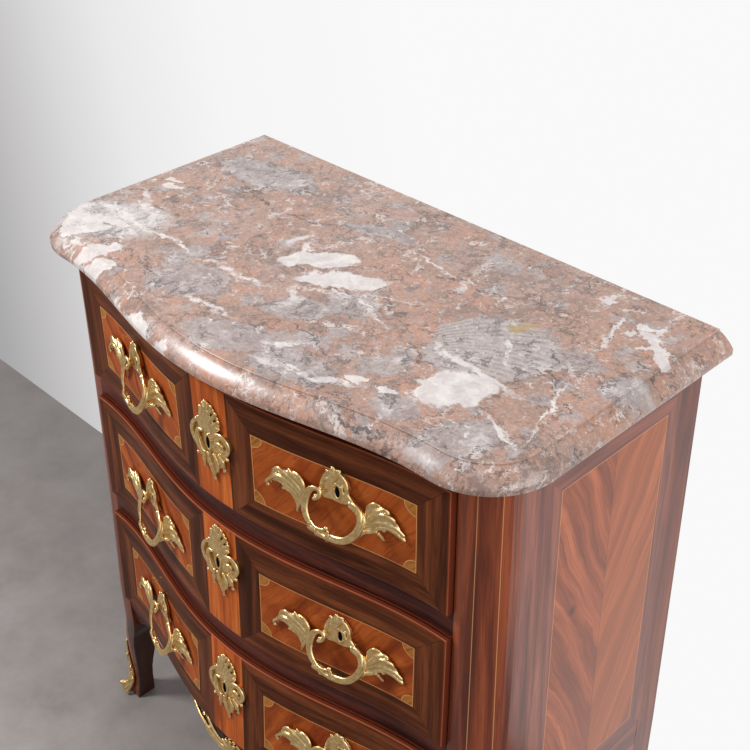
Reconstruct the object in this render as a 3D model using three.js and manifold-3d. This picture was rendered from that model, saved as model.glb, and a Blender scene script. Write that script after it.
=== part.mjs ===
import * as THREE from 'three';
import { mergeVertices } from 'three/addons/utils/BufferGeometryUtils.js';
import Module from 'manifold-3d';

const wasm = await Module();
wasm.setup();

// A bow-fronted chest of three drawers with a moulded marble top.
// Millimetres, +Z up, the front faces -Y, and the back of the case lies on y = 0
// until the finished group is centred on the floor.

// Case
const overallHeight = 864;
const caseWidth = 738;
const caseDepth = 363;
const bowDepth = 48;
const endSwell = 14;
const middleSwell = 24;
const sideLean = 8;
const bowPower = 2.2;

// Marble top
const marbleThickness = 25;
const marbleSideOverhang = 31;
const marbleFrontOverhang = 25;
const marbleBow = 48;
const marbleBowPower = 2.3;
const marbleCornerRadius = 84;
const marbleFieldInset = 19;
const marbleFieldStep = 2;
const marbleLowerEdge = 7;

// Drawer bays and rails
const bayHeight = 168;
const railHeight = 32.5;
const topRailHeight = 23.5;
const railRecess = 8;
const frontRailDepth = 62;
const dustBoardThickness = 8;
const runnerThickness = 12;
const runnerWidth = 50;
const guideHeight = 20;

// Posts, side boards and back
const postWidth = 45;
const arrisStep = 1;
const sideThickness = 18;
const rearPostSize = 39;
const backThickness = 10;
const backInset = 4;
const rearRailDepth = 24;
const topRearRailHeight = 30;
const battenWidth = 60;
const battenThickness = 14;
const bottomBoardThickness = 10;

// Front legs
const bracketHeight = 68;
const kneeHeight = 125;
const kneeWidth = 36;
const kneeDepth = 42;
const ankleHeight = 34;
const ankleWidth = 25;
const ankleDepth = 26;
const toeWidth = 31;
const toeDepth = 31;
const ankleRadius = 14;
const ankleSetback = 6;
const kneeSetback = 2;
const rearFootWidth = 27;

// Apron and shaped lower edges
const apronThickness = 20;
const apronLine = 12;
const apronDrop = 32;
const apronDropSpan = 115;
const bracketSpan = 128;
const apronTuck = 9;
const sideApronLine = 22;
const sideBracketSpan = 92;

// Drawers
const drawerSideGap = 1.5;
const drawerReveal = 1.2;
const drawerFrontThickness = 22;
const drawerEdgeRound = 5;
const drawerSideThickness = 11;
const drawerSideInset = 1.5;
const drawerSideHeight = 138;
const drawerRearGap = 30;
const drawerBottomThickness = 7;
const drawerBottomRise = 6;
const runningGap = 0.3;
const seatGap = 0.3;
const bowedSeatGap = 0.7;

// Locks
const lockWidth = 64;
const lockThickness = 11;
const lockStandProud = 2;
const lockBelowKeyhole = 20;
const keyholeRadius = 1.9;
const keyholeSlotWidth = 2.4;
const keyholeSlotHeight = 7;
const boltWidth = 14;
const boltThickness = 5.4;
const boltLength = 26;
const boltTravel = 8;
const boltClearance = 0.4;

// Handles and their fixings
const handlePlaceShare = 0.543;
const handleShift = 3;
const middleHandleDrop = 8;
const lowerHandleDrop = 2;
const handleDrops = [0, middleHandleDrop, lowerHandleDrop];
const bronzeStandOff = 1.2;
const studRadius = 2;
const studClearance = 0.4;
const studEnd = 1.5;

// Shares, counts and cutting overrun
const frontSegments = 20;
const cornerSegments = 6;
const cutOverrun = 4;

const caseTop = overallHeight - marbleThickness;
const bayPitch = bayHeight + railHeight;
const bayCount = 3;
const lowestBay = bayCount - 1;
const bayTop = (bay) => caseTop - topRailHeight - bay * bayPitch;
const bayBottom = (bay) => bayTop(bay) - bayHeight;
const legHeight = bayBottom(lowestBay);
const halfCase = caseWidth / 2;
const halfOpening = halfCase - postWidth;
const halfDrawer = halfOpening - drawerSideGap;
const sideInner = halfCase - arrisStep - sideThickness;
const rearPostInner = halfCase - arrisStep - rearPostSize;
const postBack = -(caseDepth - railRecess - postWidth);

// How far the case has swelled at a height: nothing at the top, all of it at the lowest bay
function swellShare(z) {
  const depthShare = THREE.MathUtils.clamp((caseTop - z) / (caseTop - legHeight), 0, 1);
  return depthShare * depthShare;
}

// The bowed front face of the drawers, as y over x and z
function frontY(x, z) {
  const share = swellShare(z);
  const across = Math.min(1, Math.abs(x) / halfOpening);
  const bow = bowDepth + (middleSwell - endSwell) * share;
  return -(caseDepth + endSwell * share) - bow * Math.pow(1 - across * across, bowPower);
}

// The sides lean out evenly toward the floor
const sideX = (z) => halfCase + sideLean * THREE.MathUtils.clamp((caseTop - z) / (caseTop - legHeight), 0, 1);

// Materials
function finish(color, roughness, metalness = 0) {
  return new THREE.MeshStandardMaterial({ color, roughness, metalness });
}
const marbleFinish = finish(0xb08a7c, 0.25);
const veneerFinish = finish(0x5a2a1c, 0.35);
const drawerFinish = finish(0x8c4326, 0.35);
const oakFinish = finish(0x9a7146, 0.75);
const legFinish = finish(0x2e1b14, 0.5);
const gildedFinish = finish(0xc9a455, 0.3, 1);
const steelFinish = finish(0x6b6660, 0.45, 1);

const chest = new THREE.Group();

function addPart(name, geometry, material) {
  const shape = geometry.index ? geometry : mergeVertices(bare(geometry));
  const mesh = new THREE.Mesh(shape, material);
  mesh.name = name;
  mesh.geometry.computeVertexNormals();
  chest.add(mesh);
  return mesh;
}

function bare(geometry) {
  const copy = geometry.clone();
  copy.deleteAttribute('normal');
  copy.deleteAttribute('uv');
  return copy;
}

// Triangles that fill a flat ring, wound as the ring is
function fillRing(ring) {
  const normal = new THREE.Vector3();
  ring.forEach((point, i) => {
    const next = ring[(i + 1) % ring.length];
    normal.x += (point.y - next.y) * (point.z + next.z);
    normal.y += (point.z - next.z) * (point.x + next.x);
    normal.z += (point.x - next.x) * (point.y + next.y);
  });
  const size = normal.clone().set(Math.abs(normal.x), Math.abs(normal.y), Math.abs(normal.z));
  let flat = (p) => new THREE.Vector2(p.x, p.y);
  let sign = Math.sign(normal.z);
  if (size.x >= size.y && size.x >= size.z) {
    flat = (p) => new THREE.Vector2(p.y, p.z);
    sign = Math.sign(normal.x);
  } else if (size.y >= size.z) {
    flat = (p) => new THREE.Vector2(p.z, p.x);
    sign = Math.sign(normal.y);
  }
  const contour = ring.map(flat);
  return THREE.ShapeUtils.triangulateShape(contour, []).map((face) => {
    const [a, b, c] = face.map((i) => contour[i]);
    const turn = (b.x - a.x) * (c.y - a.y) - (b.y - a.y) * (c.x - a.x);
    return Math.sign(turn) === sign ? face : [face[0], face[2], face[1]];
  });
}

// A closed body through rings of equal length, filled at both ends
function loft(rings) {
  const count = rings[0].length;
  const positions = rings.flat().flatMap((p) => [p.x, p.y, p.z]);
  const index = [];
  for (let r = 0; r + 1 < rings.length; r += 1) {
    for (let i = 0; i < count; i += 1) {
      const j = (i + 1) % count;
      const [a, b] = [r * count + i, r * count + j];
      const [c, d] = [b + count, a + count];
      index.push(a, b, c, a, c, d);
    }
  }
  const last = (rings.length - 1) * count;
  fillRing(rings[0]).forEach(([a, b, c]) => index.push(a, c, b));
  fillRing(rings[rings.length - 1]).forEach(([a, b, c]) => index.push(last + a, last + b, last + c));
  const geometry = new THREE.BufferGeometry();
  geometry.setAttribute('position', new THREE.Float32BufferAttribute(positions, 3));
  geometry.setIndex(index);
  return facingOut(geometry);
}

function facingOut(geometry) {
  const position = geometry.getAttribute('position');
  const index = geometry.index.array;
  const corners = [new THREE.Vector3(), new THREE.Vector3(), new THREE.Vector3()];
  let volume = 0;
  for (let i = 0; i < index.length; i += 3) {
    corners.forEach((corner, k) => corner.fromBufferAttribute(position, index[i + k]));
    volume += corners[0].dot(corners[1].cross(corners[2]));
  }
  if (volume < 0) {
    for (let i = 0; i < index.length; i += 3) {
      [index[i + 1], index[i + 2]] = [index[i + 2], index[i + 1]];
    }
  }
  return geometry;
}

// A plan outline stacked through the given heights
function stack(heights, outlineAt) {
  return loft(heights.map((z) => outlineAt(z).map(([x, y]) => new THREE.Vector3(x, y, z))));
}

// A board between two corners
function board(low, high) {
  const [dx, dy, dz] = high.map((value, i) => value - low[i]);
  const geometry = new THREE.BoxGeometry(dx, dy, dz);
  geometry.translate(low[0] + dx / 2, low[1] + dy / 2, low[2] + dz / 2);
  return mergeVertices(bare(geometry));
}

function steps(from, to, count) {
  return Array.from({ length: count + 1 }, (_, i) => from + ((to - from) * i) / count);
}

function mirrored(geometry) {
  const copy = geometry.clone();
  copy.scale(-1, 1, 1);
  return facingOut(copy);
}

// Booleans
function toSolid(geometry) {
  const merged = mergeVertices(bare(geometry));
  return new wasm.Manifold(new wasm.Mesh({
    numProp: 3,
    vertProperties: new Float32Array(merged.getAttribute('position').array),
    triVerts: new Uint32Array(merged.index.array),
  }));
}

function toGeometry(solid) {
  const { vertProperties, triVerts } = solid.getMesh();
  const geometry = new THREE.BufferGeometry();
  geometry.setAttribute('position', new THREE.BufferAttribute(vertProperties, 3));
  geometry.setIndex(new THREE.BufferAttribute(triVerts, 1));
  return geometry;
}

function cut(geometry, ...tools) {
  let solid = toSolid(geometry);
  tools.forEach((tool) => { solid = solid.subtract(toSolid(tool)); });
  return toGeometry(solid);
}

function joined(...geometries) {
  let solid = toSolid(geometries[0]);
  geometries.slice(1).forEach((piece) => { solid = solid.add(toSolid(piece)); });
  return toGeometry(solid);
}

// A round bar along Y between two depths
function barAlongY(x, z, radius, fromY, toY, sides = 8) {
  const geometry = new THREE.CylinderGeometry(radius, radius, toY - fromY, sides);
  geometry.translate(x, (fromY + toY) / 2, z);
  return geometry;
}

// Marble top: a bowed slab with a sunk fillet and a rounded edge on three sides
function marbleOutline(inset) {
  const half = halfCase + marbleSideOverhang;
  const front = -(caseDepth + marbleFrontOverhang);
  const radius = marbleCornerRadius;
  const bowSpan = half - radius;
  const edge = [new THREE.Vector2(half, 0)];
  steps(0, Math.PI / 2, cornerSegments + 2).forEach((angle) => {
    edge.push(new THREE.Vector2(half - radius + radius * Math.cos(angle), front + radius - radius * Math.sin(angle)));
  });
  steps(bowSpan, 0, frontSegments / 2).slice(1).forEach((x) => {
    const across = x / bowSpan;
    edge.push(new THREE.Vector2(x, front - marbleBow * Math.pow(1 - across * across, marbleBowPower)));
  });
  const whole = [...edge, ...edge.slice(0, -1).reverse().map((p) => new THREE.Vector2(-p.x, p.y))];
  return whole.map((point, i) => {
    const before = whole[Math.max(0, i - 1)];
    const after = whole[Math.min(whole.length - 1, i + 1)];
    const along = after.clone().sub(before).normalize();
    const moved = point.clone().add(new THREE.Vector2(along.y, -along.x).multiplyScalar(inset));
    return [moved.x, i === 0 || i === whole.length - 1 ? 0 : moved.y];
  });
}

function marbleTop() {
  const roundTop = overallHeight - marbleFieldStep;
  const roundBottom = caseTop + marbleLowerEdge;
  const profile = [[0, caseTop], [0, roundBottom]];
  steps(0, Math.PI / 2, cornerSegments).slice(1).forEach((angle) => {
    const inset = marbleFieldInset * (1 - Math.cos(angle));
    profile.push([inset, roundBottom + (roundTop - roundBottom) * Math.sin(angle)]);
  });
  profile.push([marbleFieldInset, overallHeight]);
  const rings = profile.map(([inset, z]) => marbleOutline(inset).map(([x, y]) => new THREE.Vector3(x, y, z)));
  return loft(rings);
}
addPart('marble_top', marbleTop(), marbleFinish);

// Front posts run down into the legs. One outline serves every height.
function postOutline({ inner, outer, front, back, radius }) {
  const outline = [[inner, back], [inner, front]];
  steps(Math.PI / 2, 0, cornerSegments).forEach((angle) => {
    outline.push([outer - radius + radius * Math.cos(angle), front + radius - radius * Math.sin(angle)]);
  });
  outline.push([outer, back]);
  return outline;
}

function postSection(z) {
  return {
    inner: halfOpening,
    outer: sideX(z),
    front: frontY(halfOpening, z) + railRecess,
    back: postBack,
    radius: postWidth - arrisStep,
  };
}

function legSection(z) {
  const top = postSection(legHeight);
  const section = (out, width, depth, radius) => ({
    inner: top.outer - out - width,
    outer: top.outer - out,
    front: top.front + out,
    back: top.front + out + depth,
    radius,
  });
  const knee = section(kneeSetback, kneeWidth, kneeDepth, (kneeWidth + ankleRadius) / 2);
  const ankle = section(ankleSetback, ankleWidth, ankleDepth, ankleRadius);
  const toe = section(0, toeWidth, toeDepth, ankleRadius);
  const stations = [
    { z: 0, ...toe },
    { z: ankleHeight, ...ankle },
    { z: kneeHeight, ...knee },
    { z: legHeight - bracketHeight, ...top },
    { z: legHeight, ...top },
  ];
  const upper = stations.findIndex((station) => station.z >= z);
  const [a, b] = [stations[Math.max(0, upper - 1)], stations[Math.max(0, upper)]];
  const share = a === b ? 0 : (z - a.z) / (b.z - a.z);
  const eased = share * share * (3 - 2 * share);
  const blend = (key) => THREE.MathUtils.lerp(a[key], b[key], eased);
  return { inner: blend('inner'), outer: blend('outer'), front: blend('front'), back: blend('back'), radius: blend('radius') };
}

function frontPost() {
  const bracketZ = legHeight - bracketHeight;
  const heights = [
    ...steps(0, ankleHeight, 3),
    ...steps(ankleHeight, kneeHeight, 5).slice(1),
    ...steps(kneeHeight, bracketZ, 3).slice(1),
    ...steps(bracketZ, legHeight, 2).slice(1),
    ...steps(legHeight, caseTop, 6).slice(1),
  ];
  return stack(heights, (z) => postOutline(z < legHeight ? legSection(z) : postSection(z)));
}
const rightPost = frontPost();
addPart('right_front_post', rightPost, veneerFinish);
addPart('left_front_post', mirrored(rightPost), veneerFinish);

// Rear posts stand square and taper to a plain foot
function rearPost() {
  const outlineAt = (z) => {
    const taper = Math.max(0, 1 - z / (legHeight - bracketHeight));
    const inner = rearPostInner + (rearPostSize - rearFootWidth) * taper;
    const outer = sideX(z) - arrisStep;
    return [[inner, -rearPostSize], [inner, 0], [outer, 0], [outer, -rearPostSize]];
  };
  return stack([0, legHeight - bracketHeight, legHeight, caseTop], outlineAt);
}
const rightRearPost = rearPost();
addPart('right_rear_post', rightRearPost, veneerFinish);
addPart('left_rear_post', mirrored(rightRearPost), veneerFinish);

// Side boards: swelled outside, flat inside, with a bracketed lower edge
function sideBoard() {
  const front = postBack;
  const rear = -rearPostSize;
  const lowerEdge = (y) => {
    const toEnd = Math.min(y - front, rear - y);
    const share = Math.max(0, 1 - toEnd / sideBracketSpan);
    return legHeight - sideApronLine - (bracketHeight - sideApronLine) * Math.pow(share, 2);
  };
  const rings = steps(front, rear, 16).map((y) => {
    const outer = steps(lowerEdge(y), caseTop, 6).map((z) => new THREE.Vector3(sideX(z) - arrisStep, y, z));
    return [new THREE.Vector3(sideInner, y, lowerEdge(y)), ...outer, new THREE.Vector3(sideInner, y, caseTop)];
  });
  return loft(rings);
}
const rightSide = sideBoard();
addPart('right_side_board', rightSide, veneerFinish);
addPart('left_side_board', mirrored(rightSide), veneerFinish);

// Front rails between the drawers, bowed in front and straight behind
const railBack = -(caseDepth - frontRailDepth);
function bowedBoard(low, high, frontAt, back, half, segments = frontSegments) {
  const outlineAt = (z) => [
    [half, back],
    [-half, back],
    ...steps(-half, half, segments).map((x) => [x, frontAt(x, z)]),
  ];
  return stack([low, high], outlineAt);
}

const boltDepth = drawerFrontThickness - lockThickness / 2 + lockStandProud;
const boltY = (bay) => frontY(0, bayTop(bay)) + boltDepth;

// The pocket that the lock bolt of the drawer below rises into
function mortise(bay) {
  const half = boltWidth / 2 + boltClearance;
  const deep = boltThickness / 2 + boltClearance;
  const y = boltY(bay);
  return board(
    [-half, y - deep, bayTop(bay) - cutOverrun],
    [half, y + deep, bayTop(bay) + boltTravel + boltClearance],
  );
}

const recessed = (x, z) => frontY(x, z) + railRecess;
const topRail = bowedBoard(bayTop(0), caseTop, recessed, railBack, halfOpening);
addPart('top_front_rail', cut(topRail, mortise(0)), veneerFinish);
['upper_divider_rail', 'lower_divider_rail'].forEach((name, bay) => {
  const rail = bowedBoard(bayTop(bay + 1), bayBottom(bay), recessed, railBack, halfOpening);
  addPart(name, cut(rail, mortise(bay + 1)), veneerFinish);
});

// Apron under the lowest drawer, bracketed at the legs and dropped at the middle
function apronEdge(x) {
  const side = Math.abs(x);
  const bracketShare = Math.max(0, (side - (halfOpening - bracketSpan)) / bracketSpan);
  const dropShare = Math.max(0, 1 - Math.pow(side / apronDropSpan, 2));
  return legHeight - apronLine - (bracketHeight - apronLine) * Math.pow(bracketShare, 2)
    - apronDrop * Math.pow(dropShare, 2);
}

const apronFront = (x, z) => {
  const lowShare = (legHeight - z) / bracketHeight;
  return frontY(x, legHeight) + railRecess + apronTuck * lowShare * lowShare;
};
const apronBack = (x) => frontY(x, legHeight) + railRecess + apronTuck + apronThickness;

const apronSegments = 2 * frontSegments;
function frontApron() {
  const rings = steps(-halfOpening, halfOpening, apronSegments).map((x) => {
    const face = steps(apronEdge(x), legHeight, 3).map((z) => new THREE.Vector3(x, apronFront(x, z), z));
    return [new THREE.Vector3(x, apronBack(x), apronEdge(x)), ...face, new THREE.Vector3(x, apronBack(x), legHeight)];
  });
  return loft(rings);
}
addPart('front_apron', frontApron(), veneerFinish);

// Inside the case: boards, runners and guides for each drawer, and the rails behind
const rearRailFront = -backInset - backThickness - rearRailDepth;
['upper_dust_board', 'lower_dust_board'].forEach((name, bay) => {
  const top = bayBottom(bay) - (runnerThickness - dustBoardThickness) / 2;
  const half = sideInner - runnerWidth;
  const back = -backInset - backThickness;
  addPart(name, board([-half, railBack, top - dustBoardThickness], [half, back, top]), oakFinish);
});

const bottomTop = legHeight;
function bottomBoard() {
  const half = halfOpening;
  const frontAt = (x) => apronBack(x) + seatGap;
  return bowedBoard(bottomTop - bottomBoardThickness, bottomTop, frontAt, rearRailFront, half, apronSegments);
}
addPart('bottom_board', bottomBoard(), oakFinish);

// Each runner carries its guide: an L on its side, seen from the front
const guideInner = halfDrawer - drawerSideInset + runningGap;
function runner(bay) {
  const lowest = bay === lowestBay;
  const inner = lowest ? halfOpening : sideInner - runnerWidth;
  const front = lowest ? postBack : railBack;
  const top = bayBottom(bay);
  const under = top - (lowest ? bottomBoardThickness : runnerThickness);
  const section = [
    [inner, under],
    [sideInner, under],
    [sideInner, top + guideHeight],
    [guideInner, top + guideHeight],
    [guideInner, top],
    [inner, top],
  ];
  const ringAt = (y) => section.map(([x, z]) => new THREE.Vector3(x, y, z));
  return loft([ringAt(front), ringAt(-rearPostSize)]);
}
['upper', 'middle', 'lower'].forEach((level, bay) => {
  addPart(`${level}_right_runner`, runner(bay), oakFinish);
  addPart(`${level}_left_runner`, mirrored(runner(bay)), oakFinish);
});

const rearRailLow = legHeight - bracketHeight / 2;
addPart('top_rear_rail', board(
  [-rearPostInner, rearRailFront, caseTop - topRearRailHeight],
  [rearPostInner, rearRailFront + rearRailDepth, caseTop],
), oakFinish);
addPart('bottom_rear_rail', board(
  [-rearPostInner, rearRailFront, rearRailLow],
  [rearPostInner, rearRailFront + rearRailDepth, bottomTop],
), oakFinish);
addPart('back_board', board(
  [-rearPostInner, -backInset - backThickness, rearRailLow],
  [rearPostInner, -backInset, caseTop],
), oakFinish);
addPart('top_middle_batten', board(
  [-battenWidth / 2, railBack, caseTop - battenThickness],
  [battenWidth / 2, rearRailFront, caseTop],
), oakFinish);

// Cast bronze work is shaped flat, as (across, up, proud), and then laid on the front face
function laidOn(geometry, x0, z0, faceAt) {
  const copy = geometry.clone();
  const position = copy.getAttribute('position');
  for (let i = 0; i < position.count; i += 1) {
    const x = x0 + position.getX(i);
    const z = z0 + position.getY(i);
    position.setXYZ(i, x, faceAt(x, z) - position.getZ(i), z);
  }
  return facingOut(copy);
}

const point = (across, up, proud) => new THREE.Vector3(across, up, proud);

// A bar of changing thickness through points
function castRod(points, radiusAt, count, sides = 6) {
  const curve = new THREE.CatmullRomCurve3(points);
  const rings = steps(0, 1, count).map((share) => {
    const centre = curve.getPointAt(share);
    const along = curve.getTangentAt(share);
    const proud = new THREE.Vector3(0, 0, 1);
    const across = new THREE.Vector3().crossVectors(along, proud).normalize();
    const out = new THREE.Vector3().crossVectors(across, along).normalize();
    const radius = radiusAt(share);
    return Array.from({ length: sides }, (_, i) => {
      const angle = (2 * Math.PI * i) / sides;
      return centre.clone()
        .addScaledVector(across, radius * Math.cos(angle))
        .addScaledVector(out, radius * Math.sin(angle));
    });
  });
  return loft(rings);
}

// A leaf along a spine, ridged on both sides of its vein and flat underneath
const leafTipShare = 0.5;
const leafSectionShares = [[-1, 0], [-0.55, 1], [0, 0.6], [0.55, 1], [1, 0], [0, -0.1]];
function castLeaf(points, halfWidthAt, thickness, count) {
  const curve = new THREE.CatmullRomCurve3(points);
  const rings = steps(0, 1, count).map((share) => {
    const centre = curve.getPointAt(share);
    const along = curve.getTangentAt(share).setZ(0).normalize();
    const across = new THREE.Vector3(-along.y, along.x, 0);
    const half = halfWidthAt(share);
    const rise = thickness * (1 - share * share * leafTipShare);
    const at = (side, height) => centre.clone().addScaledVector(across, half * side)
      .add(point(0, 0, rise * height));
    return leafSectionShares.map(([side, height]) => at(side, height));
  });
  return loft(rings);
}

// A domed plate with a lobed edge
const plateRimShare = 0.35;
const plateShoulderShare = 0.72;
const plateCentreShare = 0.3;
const plateDishShare = 0.8;
function castPlate(centre, radiusAt, thickness, spokes) {
  const angles = Array.from({ length: spokes }, (_, i) => (2 * Math.PI * i) / spokes);
  const ring = (share, height) => angles.map((angle) => {
    const reach = radiusAt(angle);
    return centre.clone().add(point(reach.x * share, reach.y * share, height));
  });
  return loft([
    ring(1, 0),
    ring(1, thickness * plateRimShare),
    ring(plateShoulderShare, thickness),
    ring(plateCentreShare, thickness * plateDishShare),
  ]);
}

function lobed(halfWidth, halfHeight, lobes, lobeShare) {
  return (angle) => {
    const swell = 1 + lobeShare * Math.cos(lobes * angle);
    return { x: halfWidth * swell * Math.cos(angle), y: halfHeight * swell * Math.sin(angle) };
  };
}

// A value that follows a list of shares from one end to the other
function along(shares, size) {
  return (share) => {
    const place = share * (shares.length - 1);
    const low = Math.min(shares.length - 2, Math.floor(place));
    return size * THREE.MathUtils.lerp(shares[low], shares[low + 1], place - low);
  };
}

// The drawer handle: a pierced cartouche between two leaves, with a fixed bail standing proud.
// Paths are shares of the handle's reach across and up, and of the bail's stand-off.
const handleReach = 88;
const bailProud = 24;
const bailRadius = 4.3;
const leafThickness = 6;
const leafWidth = 12.5;
const strutRadius = 3.6;
const cartoucheHalfWidth = 14.5;
const cartoucheHalfHeight = 24;
const cartoucheThickness = 7;
const cartoucheShare = [0.07, 0.24];
const bailPathShares = [
  [-0.03, 0.16, 0.22], [-0.22, 0.07, 0.33], [-0.32, -0.08, 0.46], [-0.3, -0.22, 0.6],
  [-0.19, -0.32, 0.78], [0, -0.36, 0.93], [0.18, -0.36, 1], [0.36, -0.3, 0.97],
  [0.47, -0.17, 0.8], [0.48, -0.03, 0.6], [0.4, 0.08, 0.42], [0.28, 0.16, 0.32], [0.16, 0.27, 0.22],
];
const leftLeafShares = [
  [-0.53, -0.37, 0.08], [-0.49, -0.2, 0.1], [-0.52, -0.03, 0.12], [-0.62, 0.08, 0.14],
  [-0.77, 0.08, 0.14], [-0.9, 0.01, 0.1], [-1, -0.13, 0.06],
];
const leftLeafWidthShares = [0.2, 0.65, 1, 0.95, 0.75, 0.5, 0.15];
const rightLeafShares = [
  [0.5, -0.09, 0.08], [0.57, 0.05, 0.12], [0.68, 0.06, 0.14], [0.79, 0.03, 0.12], [0.88, -0.01, 0.1],
  [0.96, -0.1, 0.06],
];
const rightLeafWidthShares = [0.4, 1, 0.9, 0.65, 0.45, 0.15];
const spurShares = [
  [[0.55, -0.08, 0.1], [0.6, -0.2, 0.1], [0.67, -0.32, 0.06]],
  [[0.72, 0, 0.1], [0.76, -0.09, 0.1], [0.79, -0.17, 0.06]],
  [[-0.62, 0.02, 0.1], [-0.69, -0.07, 0.12], [-0.7, -0.14, 0.08]],
];
const spurWidthShares = [0.45, 0.35, 0.12];
const strutShares = [[[-0.5, -0.08, 0.14], [-0.3, -0.14, 0.5]], [[0.58, -0.03, 0.14], [0.46, -0.12, 0.72]]];

const cartoucheLobes = 7;
const cartoucheLobeShare = 0.08;
const bailThicknessShares = [0.7, 1, 0.85, 1, 1.1, 0.9, 1, 1.1, 0.8, 0.7];
const cartoucheSlotWidth = 5;
const cartoucheSlotHeight = 13;
const cartoucheDrill = 4 * cartoucheThickness;
const slotDropShare = 0.18;

const atShares = ([across, up, proud]) => point(handleReach * across, handleReach * up, bailProud * proud);

function castHandle() {
  const [across, up] = cartoucheShare;
  const centre = point(handleReach * across, handleReach * up, bronzeStandOff);
  const rim = lobed(cartoucheHalfWidth, cartoucheHalfHeight, cartoucheLobes, cartoucheLobeShare);
  const plate = castPlate(centre, rim, cartoucheThickness, 3 * cartoucheLobes);
  const bail = castRod(bailPathShares.map(atShares), along(bailThicknessShares, bailRadius), 20);
  const struts = strutShares.map((ends) => castRod(ends.map(atShares), () => strutRadius, 2));
  const leaves = [
    castLeaf(leftLeafShares.map(atShares), along(leftLeafWidthShares, leafWidth), leafThickness, 8),
    castLeaf(rightLeafShares.map(atShares), along(rightLeafWidthShares, leafWidth), leafThickness, 7),
    ...spurShares.map((path) => castLeaf(path.map(atShares), along(spurWidthShares, leafWidth), leafThickness, 3)),
  ];
  const slot = new THREE.CylinderGeometry(cartoucheSlotWidth / 2, cartoucheSlotWidth / 2, cartoucheDrill, 8);
  slot.rotateX(Math.PI / 2);
  slot.scale(1, cartoucheSlotHeight / cartoucheSlotWidth, 1);
  slot.translate(centre.x, centre.y - cartoucheHalfHeight * slotDropShare, centre.z);
  return cut(joined(plate, bail, ...struts, ...leaves), slot);
}
const handleCasting = castHandle();

// The handle's studs pass through the drawer front
const studShares = [[-0.55, 0.02], [0.62, 0.04]];
const studPlaces = studShares.map((share) => share.map((value) => value * handleReach));
const innerFaceY = (bay, x) => frontY(x, bayTop(bay)) + drawerFrontThickness;
const bayMiddle = (bay) => (bayTop(bay) + bayBottom(bay)) / 2;
const handleX = (side) => side * handlePlaceShare * halfDrawer + handleShift;
const handleZ = (bay) => bayMiddle(bay) - handleDrops[bay];

function placedHandle(bay, side) {
  const body = laidOn(handleCasting, handleX(side), handleZ(bay), frontY);
  const studs = studPlaces.map(([across, up]) => {
    const x = handleX(side) + across;
    const z = handleZ(bay) + up;
    return barAlongY(x, z, studRadius, frontY(x, z) - leafThickness / 2, innerFaceY(bay, x) + studEnd);
  });
  return joined(body, ...studs);
}

// Each keyhole has its own height over the middle of its bay
const upperKeyholeRise = 5;
const middleKeyholeRise = 27;
const lowerKeyholeRise = 17;
const keyholeRises = [upperKeyholeRise, middleKeyholeRise, lowerKeyholeRise];
const keyholeZ = (bay) => bayMiddle(bay) + keyholeRises[bay];

function keyhole(bay, fromY, toY) {
  const z = keyholeZ(bay);
  const slot = board(
    [-keyholeSlotWidth / 2, fromY, z - keyholeSlotHeight],
    [keyholeSlotWidth / 2, toY, z],
  );
  return joined(barAlongY(0, z, keyholeRadius, fromY, toY), slot);
}

// Escutcheon: a shell over the plate of the keyhole, with a scroll on each side and two tails below.
// Paths and places are shares of its reach across and up, and of its thickness.
const escutcheonReach = 50;
const escutcheonThickness = 5;
const escutcheonStandOff = 0.4;
const escutcheonDrop = 5;
const escutcheonShift = 3;
const scrollWidth = 6;
const shellPlaceShare = [0.12, 0.76];
const shellSizeShare = [0.35, 0.37];
const shellLobes = 9;
const shellLobeShare = 0.06;
const heartPlaceShare = [0.07, 0.08];
const heartSizeShare = [0.32, 0.44];
const heartLobes = 5;
const heartLobeShare = 0.05;
const scrollShares = [
  [[-0.14, 0.36, 0.1], [-0.3, 0.46, 0.1], [-0.46, 0.34, 0.1], [-0.5, 0.1, 0.1], [-0.42, -0.16, 0.1],
    [-0.28, -0.4, 0.1], [-0.17, -0.72, 0.1]],
  [[0.2, 0.2, 0.1], [0.4, 0.36, 0.1], [0.62, 0.36, 0.1], [0.73, 0.18, 0.1], [0.68, -0.04, 0.1],
    [0.56, -0.26, 0.1], [0.54, -0.5, 0.1]],
];
const scrollWidthShares = [0.6, 0.9, 1, 1, 0.95, 0.75, 0.25];
const tailShares = [
  [[0.06, -0.2, 0.1], [0.1, -0.5, 0.1], [0.18, -0.92, 0.1]],
  [[0.26, -0.16, 0.1], [0.34, -0.4, 0.1], [0.33, -0.66, 0.1]],
];
const tailWidthShares = [1.2, 1, 0.25];

function castEscutcheon() {
  const place = ([across, up, proud = 0]) => (
    point(escutcheonReach * across, escutcheonReach * up, escutcheonStandOff + escutcheonThickness * proud)
  );
  const plate = (placeShare, sizeShare, lobes, lobeShare) => {
    const [halfWidth, halfHeight] = sizeShare.map((share) => share * escutcheonReach);
    return castPlate(place(placeShare), lobed(halfWidth, halfHeight, lobes, lobeShare), escutcheonThickness, 18);
  };
  const leaf = (path, shares, count) => (
    castLeaf(path.map(place), along(shares, scrollWidth), escutcheonThickness, count)
  );
  return joined(
    plate(heartPlaceShare, heartSizeShare, heartLobes, heartLobeShare),
    plate(shellPlaceShare, shellSizeShare, shellLobes, shellLobeShare),
    ...scrollShares.map((path) => leaf(path, scrollWidthShares, 9)),
    ...tailShares.map((path) => leaf(path, tailWidthShares, 3)),
  );
}
const escutcheonCasting = castEscutcheon();

function escutcheon(bay) {
  const face = frontY(0, keyholeZ(bay));
  const hole = keyhole(bay, face - escutcheonThickness - cutOverrun, face + cutOverrun);
  return cut(laidOn(escutcheonCasting, -escutcheonShift, keyholeZ(bay) - escutcheonDrop, frontY), hole);
}

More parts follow.
